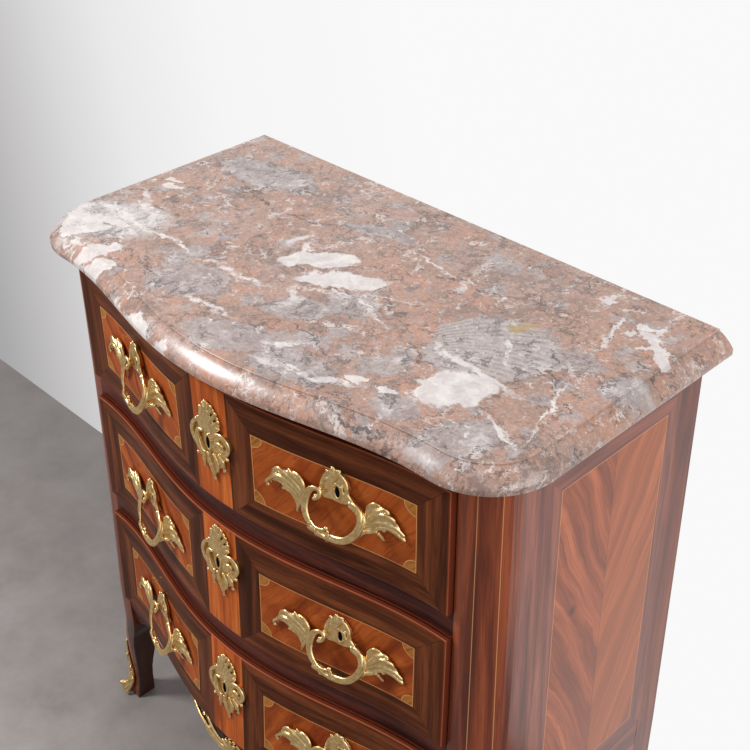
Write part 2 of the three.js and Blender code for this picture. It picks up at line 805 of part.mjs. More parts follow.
// Drawer front: bowed outside with rounded edges, following the bow inside
const edgeStepShares = [0, 0.3, 1];
function drawerFrontBlock(bay) {
  const bottom = bayBottom(bay) + drawerReveal;
  const top = bayTop(bay) - drawerReveal;
  const edgeSteps = edgeStepShares.map((share) => share * drawerEdgeRound);
  const heights = [
    ...edgeSteps.map((rise) => bottom + rise),
    (2 * bottom + top) / 3,
    (bottom + 2 * top) / 3,
    ...edgeSteps.map((rise) => top - rise).reverse(),
  ];
  const roundOff = (distance) => {
    const left = Math.max(0, drawerEdgeRound - distance);
    return drawerEdgeRound - Math.sqrt(drawerEdgeRound * drawerEdgeRound - left * left);
  };
  const middleXs = steps(-halfDrawer + drawerEdgeRound, halfDrawer - drawerEdgeRound, frontSegments).slice(1, -1);
  const xs = [
    ...edgeSteps.map((step) => -halfDrawer + step),
    ...middleXs,
    ...edgeSteps.map((step) => halfDrawer - step).reverse(),
  ];
  const outlineAt = (z) => {
    const edge = Math.min(z - bottom, top - z);
    const face = xs.map((x) => [x, frontY(x, z) + Math.max(roundOff(edge), roundOff(halfDrawer - Math.abs(x)))]);
    const inner = steps(halfDrawer, -halfDrawer, frontSegments).map((x) => [x, innerFaceY(bay, x)]);
    return [...face, ...inner];
  };
  return stack(heights, outlineAt);
}

// The lock sits in a pocket in the back of the front, open at the top edge
const lockTop = (bay) => bayTop(bay) - drawerReveal;
const lockBottom = (bay) => keyholeZ(bay) - lockBelowKeyhole;
function lockBlock(bay, clearance, above) {
  const y = boltY(bay);
  const half = lockWidth / 2 + clearance;
  const deep = lockThickness / 2;
  return board(
    [-half, y - deep - clearance, lockBottom(bay) - clearance],
    [half, y + deep, lockTop(bay) + above],
  );
}

function lockCase(bay) {
  const half = boltWidth / 2 + boltClearance;
  const deep = boltThickness / 2 + boltClearance;
  const channel = board(
    [-half, boltY(bay) - deep, lockTop(bay) - boltLength - boltClearance],
    [half, boltY(bay) + deep, lockTop(bay) + cutOverrun],
  );
  const hole = keyhole(bay, boltY(bay) - lockThickness, boltY(bay) + lockThickness);
  return cut(lockBlock(bay, 0, 0), channel, hole);
}

function lockBolt(bay) {
  const y = boltY(bay);
  return board(
    [-boltWidth / 2, y - boltThickness / 2, lockTop(bay) - boltLength],
    [boltWidth / 2, y + boltThickness / 2, lockTop(bay)],
  );
}

function drawerFront(bay) {
  const block = drawerFrontBlock(bay);
  const reach = frontY(0, legHeight) - cutOverrun;
  const bores = [-1, 1].flatMap((side) => studPlaces.map(([across, up]) => (
    barAlongY(handleX(side) + across, handleZ(bay) + up, studRadius + studClearance, reach, railBack)
  )));
  const pocket = board(
    [-lockWidth / 2 - seatGap, boltY(bay) - lockThickness / 2 - seatGap, lockBottom(bay) - seatGap],
    [lockWidth / 2 + seatGap, railBack, lockTop(bay) + cutOverrun],
  );
  return cut(block, ...bores, pocket, keyhole(bay, reach, boltY(bay)));
}

function drawerBox(bay, prefix) {
  const low = bayBottom(bay) + runningGap;
  const high = low + drawerSideHeight;
  const outer = halfDrawer - drawerSideInset;
  const inner = outer - drawerSideThickness;
  const sideFront = innerFaceY(bay, halfDrawer) + seatGap;
  const rear = -drawerRearGap - backInset - backThickness;
  const side = board([inner, sideFront, low], [outer, rear, high]);
  addPart(`${prefix}_right_side`, side, oakFinish);
  addPart(`${prefix}_left_side`, mirrored(side), oakFinish);
  const floorLow = low + drawerBottomRise;
  const floorHigh = floorLow + drawerBottomThickness;
  const floor = bowedBoard(floorLow, floorHigh, (x) => innerFaceY(bay, x) + bowedSeatGap, rear, inner);
  addPart(`${prefix}_bottom`, floor, oakFinish);
  const backFront = rear - drawerSideThickness;
  addPart(`${prefix}_back`, board([-inner, backFront, floorHigh], [inner, rear, high]), oakFinish);
}

['upper_drawer', 'middle_drawer', 'lower_drawer'].forEach((prefix, bay) => {
  addPart(`${prefix}_front`, drawerFront(bay), drawerFinish);
  drawerBox(bay, prefix);
  addPart(`${prefix}_lock_case`, lockCase(bay), steelFinish);
  addPart(`${prefix}_lock_bolt`, lockBolt(bay), steelFinish);
  addPart(`${prefix}_escutcheon`, escutcheon(bay), gildedFinish);
  addPart(`${prefix}_left_handle`, placedHandle(bay, -1), gildedFinish);
  addPart(`${prefix}_right_handle`, placedHandle(bay, 1), gildedFinish);
});

// Gilded mount on the middle of the apron: a pierced shell between two rising leaves with hanging spurs.
// Paths and places are shares of its reach across and up, and of its thickness.
const mountReach = 80;
const mountThickness = 6;
const mountLeafWidth = 11;
const mountPiercing = 9;
const mountShellPlaceShare = [0.06, 0.05];
const mountShellSizeShare = [0.27, 0.27];
const mountShellLobes = 9;
const mountShellLobeShare = 0.08;
const mountLeafShares = [[0.12, -0.04, 0.2], [0.3, 0.03, 0.25], [0.5, 0.13, 0.3], [0.7, 0.2, 0.3], [0.92, 0.2, 0.2]];
const mountLeafWidthShares = [0.8, 1, 0.95, 0.6, 0.15];
const mountSpurShares = [[0.3, -0.02, 0.2], [0.44, -0.12, 0.2], [0.5, -0.24, 0.2]];
const mountSpurWidthShares = [0.6, 0.5, 0.15];
function apronMount() {
  const place = ([across, up, proud = 0]) => (
    point(mountReach * across, mountReach * up, bronzeStandOff + mountThickness * proud)
  );
  const [halfWidth, halfHeight] = mountShellSizeShare.map((share) => share * mountReach);
  const centre = place(mountShellPlaceShare);
  const rim = lobed(halfWidth, halfHeight, mountShellLobes, mountShellLobeShare);
  const shell = castPlate(centre, rim, mountThickness, 3 * mountShellLobes);
  const leaf = (side, path, shares, count) => (
    castLeaf(path.map(([across, ...rest]) => place([side * across, ...rest])), along(shares, mountLeafWidth),
      mountThickness, count)
  );
  const leaves = [-1, 1].flatMap((side) => [
    leaf(side, mountLeafShares, mountLeafWidthShares, 8),
    leaf(side, mountSpurShares, mountSpurWidthShares, 3),
  ]);
  const piercing = new THREE.CylinderGeometry(mountPiercing / 2, mountPiercing / 2, 4 * mountThickness, 10);
  piercing.rotateX(Math.PI / 2);
  piercing.translate(centre.x, centre.y, centre.z);
  const casting = cut(joined(shell, ...leaves), piercing);
  const middleZ = legHeight - apronLine - apronDrop / 2;
  return laidOn(casting, 0, middleZ, (x, z) => apronFront(x, Math.max(z, apronEdge(x))));
}
addPart('apron_mount', apronMount(), gildedFinish);

// Gilded shoes on the outer corner of the front feet, wide and thick at the toe and thin at the top
const shoeHeight = 112;
const shoeHalfWidth = 19;
const shoeThickness = 4;
const shoeScroll = 9;
const shoeLift = 2;
const shoeStandOff = 1.2;
const shoeTaperShare = 0.9;
const shoeThinningShare = 0.6;
const shoeScrollPower = 5;
function rightShoe() {
  const rings = steps(0, 1, 9).map((share) => {
    const z = shoeLift + share * (shoeHeight - shoeLift);
    const section = legSection(z);
    const corner = new THREE.Vector2(section.outer - section.radius, section.front + section.radius);
    const half = shoeHalfWidth * (1 - shoeTaperShare * share * share);
    const proud = shoeThickness * (1 - shoeThinningShare * share) + shoeScroll * Math.pow(1 - share, shoeScrollPower);
    const spread = Math.min(Math.PI / 4, half / (section.radius + shoeThickness));
    const arc = steps(-spread, spread, 4).map((turn) => turn - Math.PI / 4);
    const at = (angle, reach) => new THREE.Vector3(
      corner.x + reach * Math.cos(angle), corner.y + reach * Math.sin(angle), z,
    );
    const inside = arc.map((angle) => at(angle, section.radius + shoeStandOff));
    const outside = arc.map((angle) => (
      at(angle, section.radius + shoeStandOff + proud * Math.cos(angle + Math.PI / 4))
    )).reverse();
    return [...inside, ...outside];
  });
  return loft(rings);
}
addPart('right_shoe', rightShoe(), gildedFinish);
addPart('left_shoe', mirrored(rightShoe()), gildedFinish);

// Centre the chest over the origin
const reach = new THREE.Box3().setFromObject(chest);
chest.position.y = -(reach.min.y + reach.max.y) / 2;

export default chest;
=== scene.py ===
import math

import bmesh
import bpy
import numpy as np
from mathutils import Matrix, Vector


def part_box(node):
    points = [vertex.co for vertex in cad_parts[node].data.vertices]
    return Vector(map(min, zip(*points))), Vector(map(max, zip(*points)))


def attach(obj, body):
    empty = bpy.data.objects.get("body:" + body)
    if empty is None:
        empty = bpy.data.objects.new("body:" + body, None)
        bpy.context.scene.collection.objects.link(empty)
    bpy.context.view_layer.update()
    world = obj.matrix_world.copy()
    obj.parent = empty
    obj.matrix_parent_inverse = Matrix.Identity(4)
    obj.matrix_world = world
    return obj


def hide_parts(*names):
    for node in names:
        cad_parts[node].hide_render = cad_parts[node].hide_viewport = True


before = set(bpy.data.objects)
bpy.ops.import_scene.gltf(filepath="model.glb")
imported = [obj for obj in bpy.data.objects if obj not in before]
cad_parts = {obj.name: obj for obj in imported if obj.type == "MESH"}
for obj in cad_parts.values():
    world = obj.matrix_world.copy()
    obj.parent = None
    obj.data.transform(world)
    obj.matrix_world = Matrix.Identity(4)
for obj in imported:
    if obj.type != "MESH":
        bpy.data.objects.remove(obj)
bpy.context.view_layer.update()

# The sizes that the case and the looks share, in metres
LEVELS = ("upper", "middle", "lower")
RAILS = ("top_front_rail", "upper_divider_rail", "lower_divider_rail", "front_apron")
MARBLE_LOW, MARBLE_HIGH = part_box("marble_top")
BACK = MARBLE_HIGH.y
CASE_TOP = MARBLE_LOW.z
APRON_LOW, APRON_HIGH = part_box("front_apron")
LEG_HEIGHT = APRON_HIGH.z
HALF_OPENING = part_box("top_front_rail")[1].x
HALF_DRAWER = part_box("upper_drawer_front")[1].x
CASE_DEPTH = 0.363
BOW = 0.048
BOW_POWER = 2.2
END_SWELL = 0.014
MIDDLE_SWELL = 0.024
POST_WIDTH = 0.045
RAIL_RECESS = 0.008
MM = 0.001
BOARD_SMOOTHING = 32
SOLID_BRONZE_SMOOTHING = 40
MARBLE_SMOOTHING = 30
CURVED_SMOOTHING = 60


def bay_middle(bay):
    """The middle height between the rails above and below a drawer."""
    return (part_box(RAILS[bay])[0].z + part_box(RAILS[bay + 1])[1].z) / 2


def swell(z):
    share = np.clip((CASE_TOP - z) / (CASE_TOP - LEG_HEIGHT), 0, 1)
    return share * share


def front_y(x, z):
    """The bowed face of the drawers."""
    across = np.minimum(1, np.abs(x) / HALF_OPENING)
    bow = BOW + (MIDDLE_SWELL - END_SWELL) * swell(z)
    return BACK - (CASE_DEPTH + END_SWELL * swell(z)) - bow * (1 - across ** 2) ** BOW_POWER


# Meshes

def new_object(name, verts, faces, smooth_angle=35, closed=False):
    mesh = bpy.data.meshes.new(name)
    mesh.from_pydata([tuple(v) for v in verts], [], [tuple(f) for f in faces])
    mesh.validate()
    mesh.update()
    obj = bpy.data.objects.new(name, mesh)
    bpy.context.scene.collection.objects.link(obj)
    smooth(obj, smooth_angle)
    if closed:
        outward(mesh)
    return obj


def smooth(obj, angle):
    mesh = obj.data
    mesh.polygons.foreach_set("use_smooth", [True] * len(mesh.polygons))
    mesh.set_sharp_from_angle(angle=math.radians(angle))


def outward(mesh):
    """Turns every face of a closed mesh outward."""
    bm = bmesh.new()
    bm.from_mesh(mesh)
    bmesh.ops.recalc_face_normals(bm, faces=bm.faces)
    bm.to_mesh(mesh)
    bm.free()


def loft(rings):
    """Vertices and faces of a closed tube through rings of equal length."""
    count = len(rings[0])
    verts = [p for ring in rings for p in ring]
    faces = []
    for r in range(len(rings) - 1):
        for i in range(count):
            j = (i + 1) % count
            faces.append((r * count + i, r * count + j, (r + 1) * count + j, (r + 1) * count + i))
    last = len(verts) - count
    faces.append(tuple(range(count - 1, -1, -1)))
    faces.append(tuple(range(last, last + count)))
    return verts, faces


def dress(obj, material):
    obj.data.materials.clear()
    obj.data.materials.append(material)


def lay(piece, material, body, replaced=None):
    """Finishes a piece and ties it to the frame."""
    dress(piece, material)
    if replaced:
        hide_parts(replaced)
    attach(piece, body)


# Node materials. A colour is given as it shows on a screen, 0 to 255

def linear(red, green, blue):
    def one(value):
        value /= 255
        return value / 12.92 if value <= 0.04045 else ((value + 0.055) / 1.055) ** 2.4
    return tuple(one(v) for v in (red, green, blue))


class Wire:
    """A node's output, which is added, multiplied and so on like a number."""

    def __init__(self, graph, socket):
        self.graph = graph
        self.socket = socket

    def beside(self, output):
        """Another output of the same node."""
        return Wire(self.graph, self.socket.node.outputs[output])

    def __add__(self, other):
        return self.graph.math("ADD", self, other)

    def __sub__(self, other):
        return self.graph.math("SUBTRACT", self, other)

    def __rsub__(self, other):
        return self.graph.math("SUBTRACT", other, self)

    def __mul__(self, other):
        return self.graph.math("MULTIPLY", self, other)

    def __truediv__(self, other):
        return self.graph.math("DIVIDE", self, other)

    def __abs__(self):
        return self.graph.math("ABSOLUTE", self)


class Graph:
    """A node tree that is written as sums and calls."""

    def __init__(self, owner, coordinates="Object"):
        owner.use_nodes = True
        self.tree = owner.node_tree
        self.tree.nodes.clear()
        self.place = self.node("TexCoord", {}, coordinates)

    def put(self, socket, value):
        if isinstance(value, Wire):
            self.tree.links.new(value.socket, socket)
        elif value is not None:
            socket.default_value = value

    def node(self, kind, inputs, output=0, **settings):
        """A new node with these inputs and settings, as the wire from one of its outputs."""
        node = self.tree.nodes.new("ShaderNode" + kind)
        for name, value in settings.items():
            setattr(node, name, value)
        for key, value in inputs.items():
            self.put(node.inputs[key], value)
        return Wire(self, node.outputs[output])

    def math(self, operation, *values):
        return self.node("Math", dict(enumerate(values)), operation=operation)

    def either(self, a, b):
        return self.math("MAXIMUM", a, b)

    def both(self, a, b):
        return self.math("MINIMUM", a, b)

    def many(self, masks):
        """The greatest of several masks, each of which is made only when it is its turn."""
        masks = iter(masks)
        total = next(masks)
        for mask in masks:
            total = self.either(total, mask)
        return total

    def vector(self, operation, a, b=None, output=0):
        key = "Scale" if operation == "SCALE" else 1
        return self.node("VectorMath", {0: a, key: b}, output, operation=operation)

    def minus(self, a, b):
        return self.vector("SUBTRACT", a, b)

    def shift(self, vector, offset, amount):
        return self.vector("ADD", vector, self.vector("SCALE", offset, amount))

    def dot(self, a, b):
        return self.vector("DOT_PRODUCT", a, b, "Value")

    def split(self, vector):
        x = self.node("SeparateXYZ", {0: vector})
        return [x, x.beside(1), x.beside(2)]

    def combine(self, x, y, z):
        return self.node("CombineXYZ", {0: x, 1: y, 2: z})

    def noise(self, vector, scale, detail=4.0, rough=0.55, distortion=0.0, output=0):
        inputs = {"Scale": scale, "Detail": detail, "Roughness": rough, "Distortion": distortion}
        return self.node("TexNoise", {"Vector": vector, **inputs}, output)

    def wander(self, vector, scale, detail, rough):
        """A random offset of up to about a half each way."""
        return self.minus(self.noise(vector, scale, detail, rough, output=1), (0.5, 0.5, 0.5))

    def step(self, value, low, high, start=0.0, end=1.0):
        """A smooth change from start to end, while value goes from low to high."""
        inputs = dict(enumerate((value, low, high, start, end)))
        return self.node("MapRange", inputs, interpolation_type="SMOOTHSTEP")

    def fall(self, value, low, high):
        return self.step(value, low, high, 1.0, 0.0)

    def spots(self, vector, low, high, *noise):
        """1 where a noise is over high, 0 where it is under low."""
        return self.step(self.noise(vector, *noise), low, high)

    def scale_to(self, value, low, high):
        return self.node("MapRange", {0: value, 3: low, 4: high})

    def vein(self, vector, scale, width):
        """1 on thin lines where a noise crosses its middle value."""
        return self.fall(abs(self.noise(vector, scale, 6.0, 0.55) - 0.5), 0.0, width)

    def ramp(self, value, *stops):
        shade = self.node("ValToRGB", {0: value})
        elements = shade.socket.node.color_ramp.elements
        while len(elements) < len(stops):
            elements.new(0.5)
        for element, (place, colour) in zip(elements, stops):
            element.position = place
            element.color = (*linear(*colour), 1.0)
        return shade

    def mix(self, factor, a, b):
        a, b = ((*linear(*value), 1.0) if isinstance(value, tuple) else value for value in (a, b))
        return self.node("Mix", {0: factor, 6: a, 7: b}, 2, data_type="RGBA")


class Surface(Graph):
    """A material with one Principled shader."""

    def __init__(self, name):
        self.material = bpy.data.materials.new(name)
        super().__init__(self.material)
        output = self.tree.nodes.new("ShaderNodeOutputMaterial")
        self.shader = self.tree.nodes.new("ShaderNodeBsdfPrincipled")
        self.tree.links.new(self.shader.outputs[0], output.inputs[0])

    def set(self, **values):
        for name, value in values.items():
            self.put(self.shader.inputs[name.replace("_", " ")], value)

    def bump(self, height, distance, strength):
        inputs = {"Strength": strength, "Distance": distance, "Height": height}
        self.set(Normal=self.node("Bump", inputs))


# Marble. Places on the top are in millimetres from the middle of its back edge

def blob(g, place, x, y, half_x, half_y, turn=0, soft=0.35):
    """1 inside an ellipse on the top, 0 outside it."""
    cosine, sine = math.cos(math.radians(turn)), math.sin(math.radians(turn))
    half_x, half_y = half_x * MM, half_y * MM
    shifted = g.minus(place, (x * MM, y * MM, 0.0))
    u = g.dot(shifted, (cosine / half_x, sine / half_x, 0.0))
    v = g.dot(shifted, (-sine / half_y, cosine / half_y, 0.0))
    return g.fall(g.math("MULTIPLY_ADD", v, v, u * u), (1 - soft) ** 2, (1 + soft) ** 2)


STRAND_WIDENING = 1.7


def strand(g, place, start, end, half_width):
    """1 along a line between two points on the top."""
    length = math.dist(start, end)
    turn = math.degrees(math.atan2(end[1] - start[1], end[0] - start[0]))
    middle = ((start[0] + end[0]) / 2, (start[1] + end[1]) / 2)
    return blob(g, place, *middle, length / 2, STRAND_WIDENING * half_width, turn, 0.5)


GREY_PATCHES = (
    (-270, -85, 85, 35, 10), (-118, -335, 55, 35, 30), (0, -385, 50, 30, 20), (100, -374, 52, 30, 20),
    (234, -348, 30, 22, 0), (311, -348, 45, 30, 60), (309, -160, 35, 20, 20), (375, -165, 30, 22, 80),
    (60, -240, 34, 26, 0), (120, -55, 30, 18, 0), (60, -345, 45, 20, 40), (170, -300, 30, 20, 60),
    (-170, -300, 35, 22, 70), (20, -290, 50, 20, 30), (-50, -100, 40, 18, 20),
)
WHITE_BLOBS = (
    (-45, -199, 46, 20, 38), (10, -214, 56, 17, 34), (252, -285, 43, 32, 45), (-338, -200, 18, 6, 40),
    (-352, -185, 10, 5, 20), (170, -340, 14, 7, 20), (-145, -428, 40, 14, -14), (-100, -432, 34, 16, -8),
    (-60, -440, 22, 10, 6), (-345, -330, 34, 16, 25), (-318, -350, 28, 14, 50), (-300, -310, 20, 10, 10),
    (-262, -368, 30, 15, 60), (-235, -388, 24, 12, 30), (259, -30, 13, 5, 10), (262, -26, 5, 11, 10),
    (345, -70, 22, 8, -38), (325, -50, 12, 6, 30), (368, -88, 20, 8, -50), (338, -48, 5, 13, 20),
    (352, -86, 16, 5, 40), (317, -72, 10, 4, 60), (205, -335, 12, 6, 30),
)
WHITE_STRANDS = (
    ((-366, -290), (-256, -293), 2.6), ((-256, -293), (-169, -289), 1.8), ((-357, -231), (-272, -278), 3.0),
    ((-132, -288), (-53, -281), 2.4), ((178, -234), (296, -250), 2.2), ((-105, -165), (-98, -200), 3.0),
    ((-90, -170), (-70, -200), 2.2), ((-20, -262), (6, -290), 3.6), ((60, -390), (130, -368), 3.0),
    ((130, -372), (176, -352), 3.0), ((-390, -300), (-330, -380), 3.6), ((-330, -380), (-250, -360), 2.6),
    ((50, -360), (85, -330), 2.4), ((330, -200), (360, -300), 1.2), ((290, -50), (310, -120), 1.6),
    ((-90, -360), (-20, -350), 1.8), ((20, -100), (100, -120), 1.2), ((300, -300), (360, -320), 1.6),
    ((50, -220), (120, -250), 1.2), ((235, -170), (262, -215), 2.0), ((-300, -400), (-170, -435), 3.0),
    ((-10, -255), (100, -190), 1.0),
)
DARK_STRANDS = (
    ((-100, -225), (20, -235), 0.9), ((20, -235), (90, -200), 1.0), ((-300, -120), (-180, -150), 1.0),
    ((-180, -150), (-100, -130), 1.2), ((300, -200), (360, -240), 1.0), ((30, -310), (120, -330), 0.9),
    ((-220, -330), (-120, -380), 0.8), ((160, -390), (300, -395), 1.2), ((340, -110), (400, -130), 1.0),
    ((80, -130), (200, -100), 1.0), ((-380, -250), (-330, -210), 0.9), ((270, -150), (330, -220), 1.2),
)
FAN = (232, -205, 72, 60, 45)
FAN_HUB = (0.150, -0.290, 0.0)
FAN_RIBS = 96.0
CORNER_CLOUD = (-322, -312, 78, 48, 25)
OCHRE_SPOT = (231, -147, 12, 4, 45)


def marble_ground(g, warped, edges):
    """Rose and brown, with drifts, shards and chips of grey, and a mask of their rims."""
    ground = g.ramp(
        g.noise(warped, 17.0, 10.0, 0.72),
        (0.34, (137, 111, 99)), (0.43, (158, 126, 111)), (0.50, (174, 137, 120)),
        (0.57, (182, 140, 119)), (0.66, (163, 138, 125)),
    )
    warm = g.spots(warped, 0.53, 0.60, 24.0, 7.0, 0.70)
    ground = g.mix(warm * 0.5, ground, (196, 141, 115))

    def chips(scale, chance, reach):
        """A chance share of all cells, each up to a reach from its middle."""
        distance = g.node("TexVoronoi", {"Vector": edges, "Scale": scale}, "Distance")
        luck = g.split(distance.beside("Color"))[0]
        return g.step(luck, *chance) * g.fall(distance, *reach)

    shards = chips(30.0, (0.60, 0.64), (0.34, 0.44))
    small = chips(70.0, (0.66, 0.72), (0.26, 0.38))
    drift = g.spots(warped, 0.52, 0.56, 8.5, 8.0, 0.70)
    patches = g.many(blob(g, edges, *patch, 0.12) for patch in GREY_PATCHES)
    grey = g.many([drift * 0.28, patches * 0.8, shards * 0.7, small * 0.6])
    greys = g.ramp(
        g.noise(warped, 44.0, 7.0, 0.70),
        (0.32, (140, 132, 131)), (0.44, (156, 149, 149)), (0.55, (174, 167, 167)), (0.66, (206, 200, 197)),
    )
    streaks = g.spots(warped, 0.42, 0.56, 80.0, 6.0, 0.75)
    colour = g.mix(grey * g.scale_to(streaks, 0.7, 1.0), ground, greys)
    return colour, g.step(grey, 0.10, 0.30) * g.fall(grey, 0.42, 0.66)


def marble_fan(g, colour, flat, warped, edges, fine):
    """The ribbed fossil near the right of the top."""
    fx, fy, _ = g.split(g.minus(g.shift(flat, fine, 0.006), FAN_HUB))
    sweep = g.math("ARCTAN2", fy, fx) + g.math("SQRT", fx * fx + fy * fy) * 2.2
    ribs = g.step(g.math("SINE", sweep * FAN_RIBS), -0.5, 0.9) * g.spots(warped, 0.36, 0.54, 24.0)
    shade = g.mix(ribs * 0.65, (184, 171, 166), (146, 131, 128))
    shade = g.mix(g.spots(warped, 0.45, 0.65, 40.0, 5.0) * 0.4, shade, (166, 153, 150))
    return g.mix(blob(g, edges, *FAN, 0.08) * 0.96, colour, shade)


def marble_whites(g, flat, warped, edges, torn):
    """Masks of the cream blobs, and of the strands, threads and flecks."""
    breaks = g.spots(flat, 0.42, 0.50, 75.0, 4.0, 0.6)
    strands = g.many(strand(g, edges, *line) for line in WHITE_STRANDS) * g.scale_to(breaks, 0.3, 1.0)
    blobs = g.many(blob(g, edges, *patch, 0.08) for patch in WHITE_BLOBS)
    threads = g.vein(warped, 15.0, 0.016) * g.spots(flat, 0.53, 0.58, 19.0, 3.0)
    short = g.vein(torn, 30.0, 0.030) * g.spots(flat, 0.57, 0.62, 44.0, 3.0)
    flecks = g.spots(torn, 0.62, 0.655, 58.0, 5.0, 0.75) * g.spots(flat, 0.44, 0.54, 20.0, 2.0)
    crumbs = g.spots(torn, 0.62, 0.66, 130.0, 4.0, 0.7) * g.spots(flat, 0.46, 0.56, 30.0, 3.0)
    return blobs, g.many([strands * 0.95, threads * 0.8, short * 0.85, flecks * 0.95, crumbs * 0.8])


def marble_lines(g, flat, edges, torn, rims):
    """Dark cracks, and the dark rims of some patches."""
    clusters = g.spots(flat, 0.44, 0.54, 18.0, 3.0)
    contact = rims * (clusters * g.spots(flat, 0.44, 0.52, 90.0, 3.0))
    broken = g.spots(flat, 0.42, 0.50, 55.0, 3.0, 0.6)
    dark = g.many(strand(g, torn, *line) for line in DARK_STRANDS) * broken
    cracks = g.vein(edges, 15.0, 0.020) * g.spots(flat, 0.48, 0.53, 20.0, 3.0)
    crazing = g.vein(edges, 34.0, 0.034) * g.spots(flat, 0.52, 0.58, 23.0, 3.0)
    ticks = g.vein(torn, 70.0, 0.05) * g.spots(flat, 0.55, 0.61, 34.0, 3.0)
    return g.many([dark, cracks * 0.9, crazing * 0.85, ticks * 0.7, contact * 0.5])


def marble_material():
    g = Surface("marble")
    px, py, pz = g.split(g.minus(g.place, (0.0, BACK, 0.0)))
    flat = g.combine(px, py, pz * 0.8)
    coarse = g.wander(flat, 9.0, 5.0, 0.6)
    fine = g.wander(flat, 38.0, 5.0, 0.65)
    warped = g.shift(g.shift(flat, coarse, 0.07), fine, 0.035)
    edges = g.shift(g.shift(flat, fine, 0.042), coarse, 0.020)
    torn = g.shift(edges, g.wander(flat, 130.0, 4.0, 0.65), 0.014)

    colour, rims = marble_ground(g, warped, torn)
    colour = marble_fan(g, colour, flat, warped, edges, fine)
    cloud = g.ramp(g.noise(warped, 60.0, 6.0, 0.7), (0.32, (158, 150, 150)), (0.58, (222, 215, 211)))
    colour = g.mix(blob(g, torn, *CORNER_CLOUD, 0.3) * 0.9, colour, cloud)
    lines = marble_lines(g, flat, edges, torn, rims)
    grit = g.noise(flat, 260.0, 5.0, 0.78)
    colour = g.mix(g.step(grit, 0.52, 0.64) * 0.40, colour, (110, 92, 85))
    colour = g.mix(g.fall(grit, 0.34, 0.47) * 0.40, colour, (222, 203, 193))
    colour = g.mix(lines * 0.85, colour, (72, 62, 60))
    blobs, light = marble_whites(g, flat, warped, edges, torn)
    whites = g.ramp(
        g.noise(warped, 52.0, 7.0, 0.7),
        (0.34, (200, 190, 188)), (0.5, (218, 208, 204)), (0.66, (236, 229, 219)),
    )
    colour = g.mix(g.either(light, blobs * 0.94), colour, whites)
    colour = g.mix(blob(g, edges, *OCHRE_SPOT) * 0.8, colour, (176, 144, 88))
    g.set(Base_Color=colour, Roughness=0.30, Coat_Weight=0.22, Coat_Roughness=0.22, Specular_IOR_Level=0.45)
    return g.material


# Veneers. Each set of tones is dark, middle and light
DARK_VENEER = ((57, 28, 15), (90, 46, 26), (124, 67, 38))
PANEL_VENEER = ((116, 51, 21), (165, 80, 33), (192, 102, 47))
STRIP_VENEER = ((134, 60, 25), (184, 90, 38), (212, 116, 54))
POST_VENEER = ((84, 33, 16), (121, 53, 27), (156, 76, 40))
SIDE_BANDING = ((98, 55, 46), (138, 80, 66), (168, 100, 80))
SIDE_VENEER = ((116, 56, 34), (160, 82, 49), (196, 108, 66))
RAIL_VENEER = ((36, 16, 14), (74, 34, 26), (104, 50, 36))
EDGE_WOOD = (136, 60, 32)
EDGE_PAINTED_HIGHLIGHT = (206, 120, 82)
SIDE_WOOD = (100, 44, 27)
BOXWOOD = (216, 154, 94)
CORNER_WOOD = (170, 112, 52)
CORNER_SHADE = (132, 78, 34)
PORE_DEPTH = 0.0003
OAK_PORE_DEPTH = 0.0006
BRONZE_GRAIN = 0.0003
STEEL_GRAIN = 0.0002
SHARP = 0.0002
SEAM = (SHARP, 3 * SHARP)
STRING_HALF = 0.0004
STRING = (STRING_HALF, STRING_HALF * 1.6)


def grain(g, along, across, depth, density, seed):
    """Fine pores and broad streaks that run along one direction."""
    def streaks(across_scale, along_scale, detail, rough, distortion=0.0):
        place = g.combine(across * (across_scale * density), along * (along_scale * density) + seed,
                          depth * (across_scale * 0.3))
        return g.noise(place, 1.0, detail, rough, distortion)
    pores = streaks(620.0, 16.0, 3.0, 0.65) * 0.6 + streaks(230.0, 8.0, 3.0, 0.6) * 0.4
    return pores, streaks(64.0, 3.4, 5.0, 0.6, 0.5)


def veneer_colour(g, fine, coarse, tones, cloud=None):
    dark, middle, light = tones
    base = g.ramp(coarse, (0.34, dark), (0.50, middle), (0.66, light))
    if cloud is not None:
        base = g.mix(g.step(cloud, 0.42, 0.66) * 0.45, base, middle)
    return g.mix(g.step(fine, 0.47, 0.66) * 0.6, base, dark)


def polished(g, colour, pores, coat=0.04, gloss=0.12):
    g.set(Base_Color=colour, Roughness=0.36, Coat_Weight=coat, Coat_Roughness=0.14, Specular_IOR_Level=gloss)
    g.bump(pores, PORE_DEPTH, 0.12)


def panel_frame(g, across, up, low, high):
    """How far a place is outside a panel both ways, and masks of panel, string and upright bands."""
    from_across = abs(across - (low[0] + high[0]) / 2) - (high[0] - low[0]) / 2
    from_up = abs(up - (low[1] + high[1]) / 2) - (high[1] - low[1]) / 2
    outside = g.either(from_across, from_up)
    upright = g.step(from_across - from_up, -SHARP, SHARP)
    return from_across, from_up, g.fall(outside, -SHARP, SHARP), g.fall(abs(outside), *STRING), upright


def banding(g, upright, across, up, depth, tones, density, seeds):
    """The pores and colour of veneer that runs along the nearest edge of a panel."""
    fine_v, coarse_v = grain(g, up, across, depth, density, seeds[0])
    fine_h, coarse_h = grain(g, across, up, depth, density, seeds[1])
    fine = upright * fine_v + (1.0 - upright) * fine_h
    coarse = upright * coarse_v + (1.0 - upright) * coarse_h
    return fine, veneer_colour(g, fine, coarse, tones)


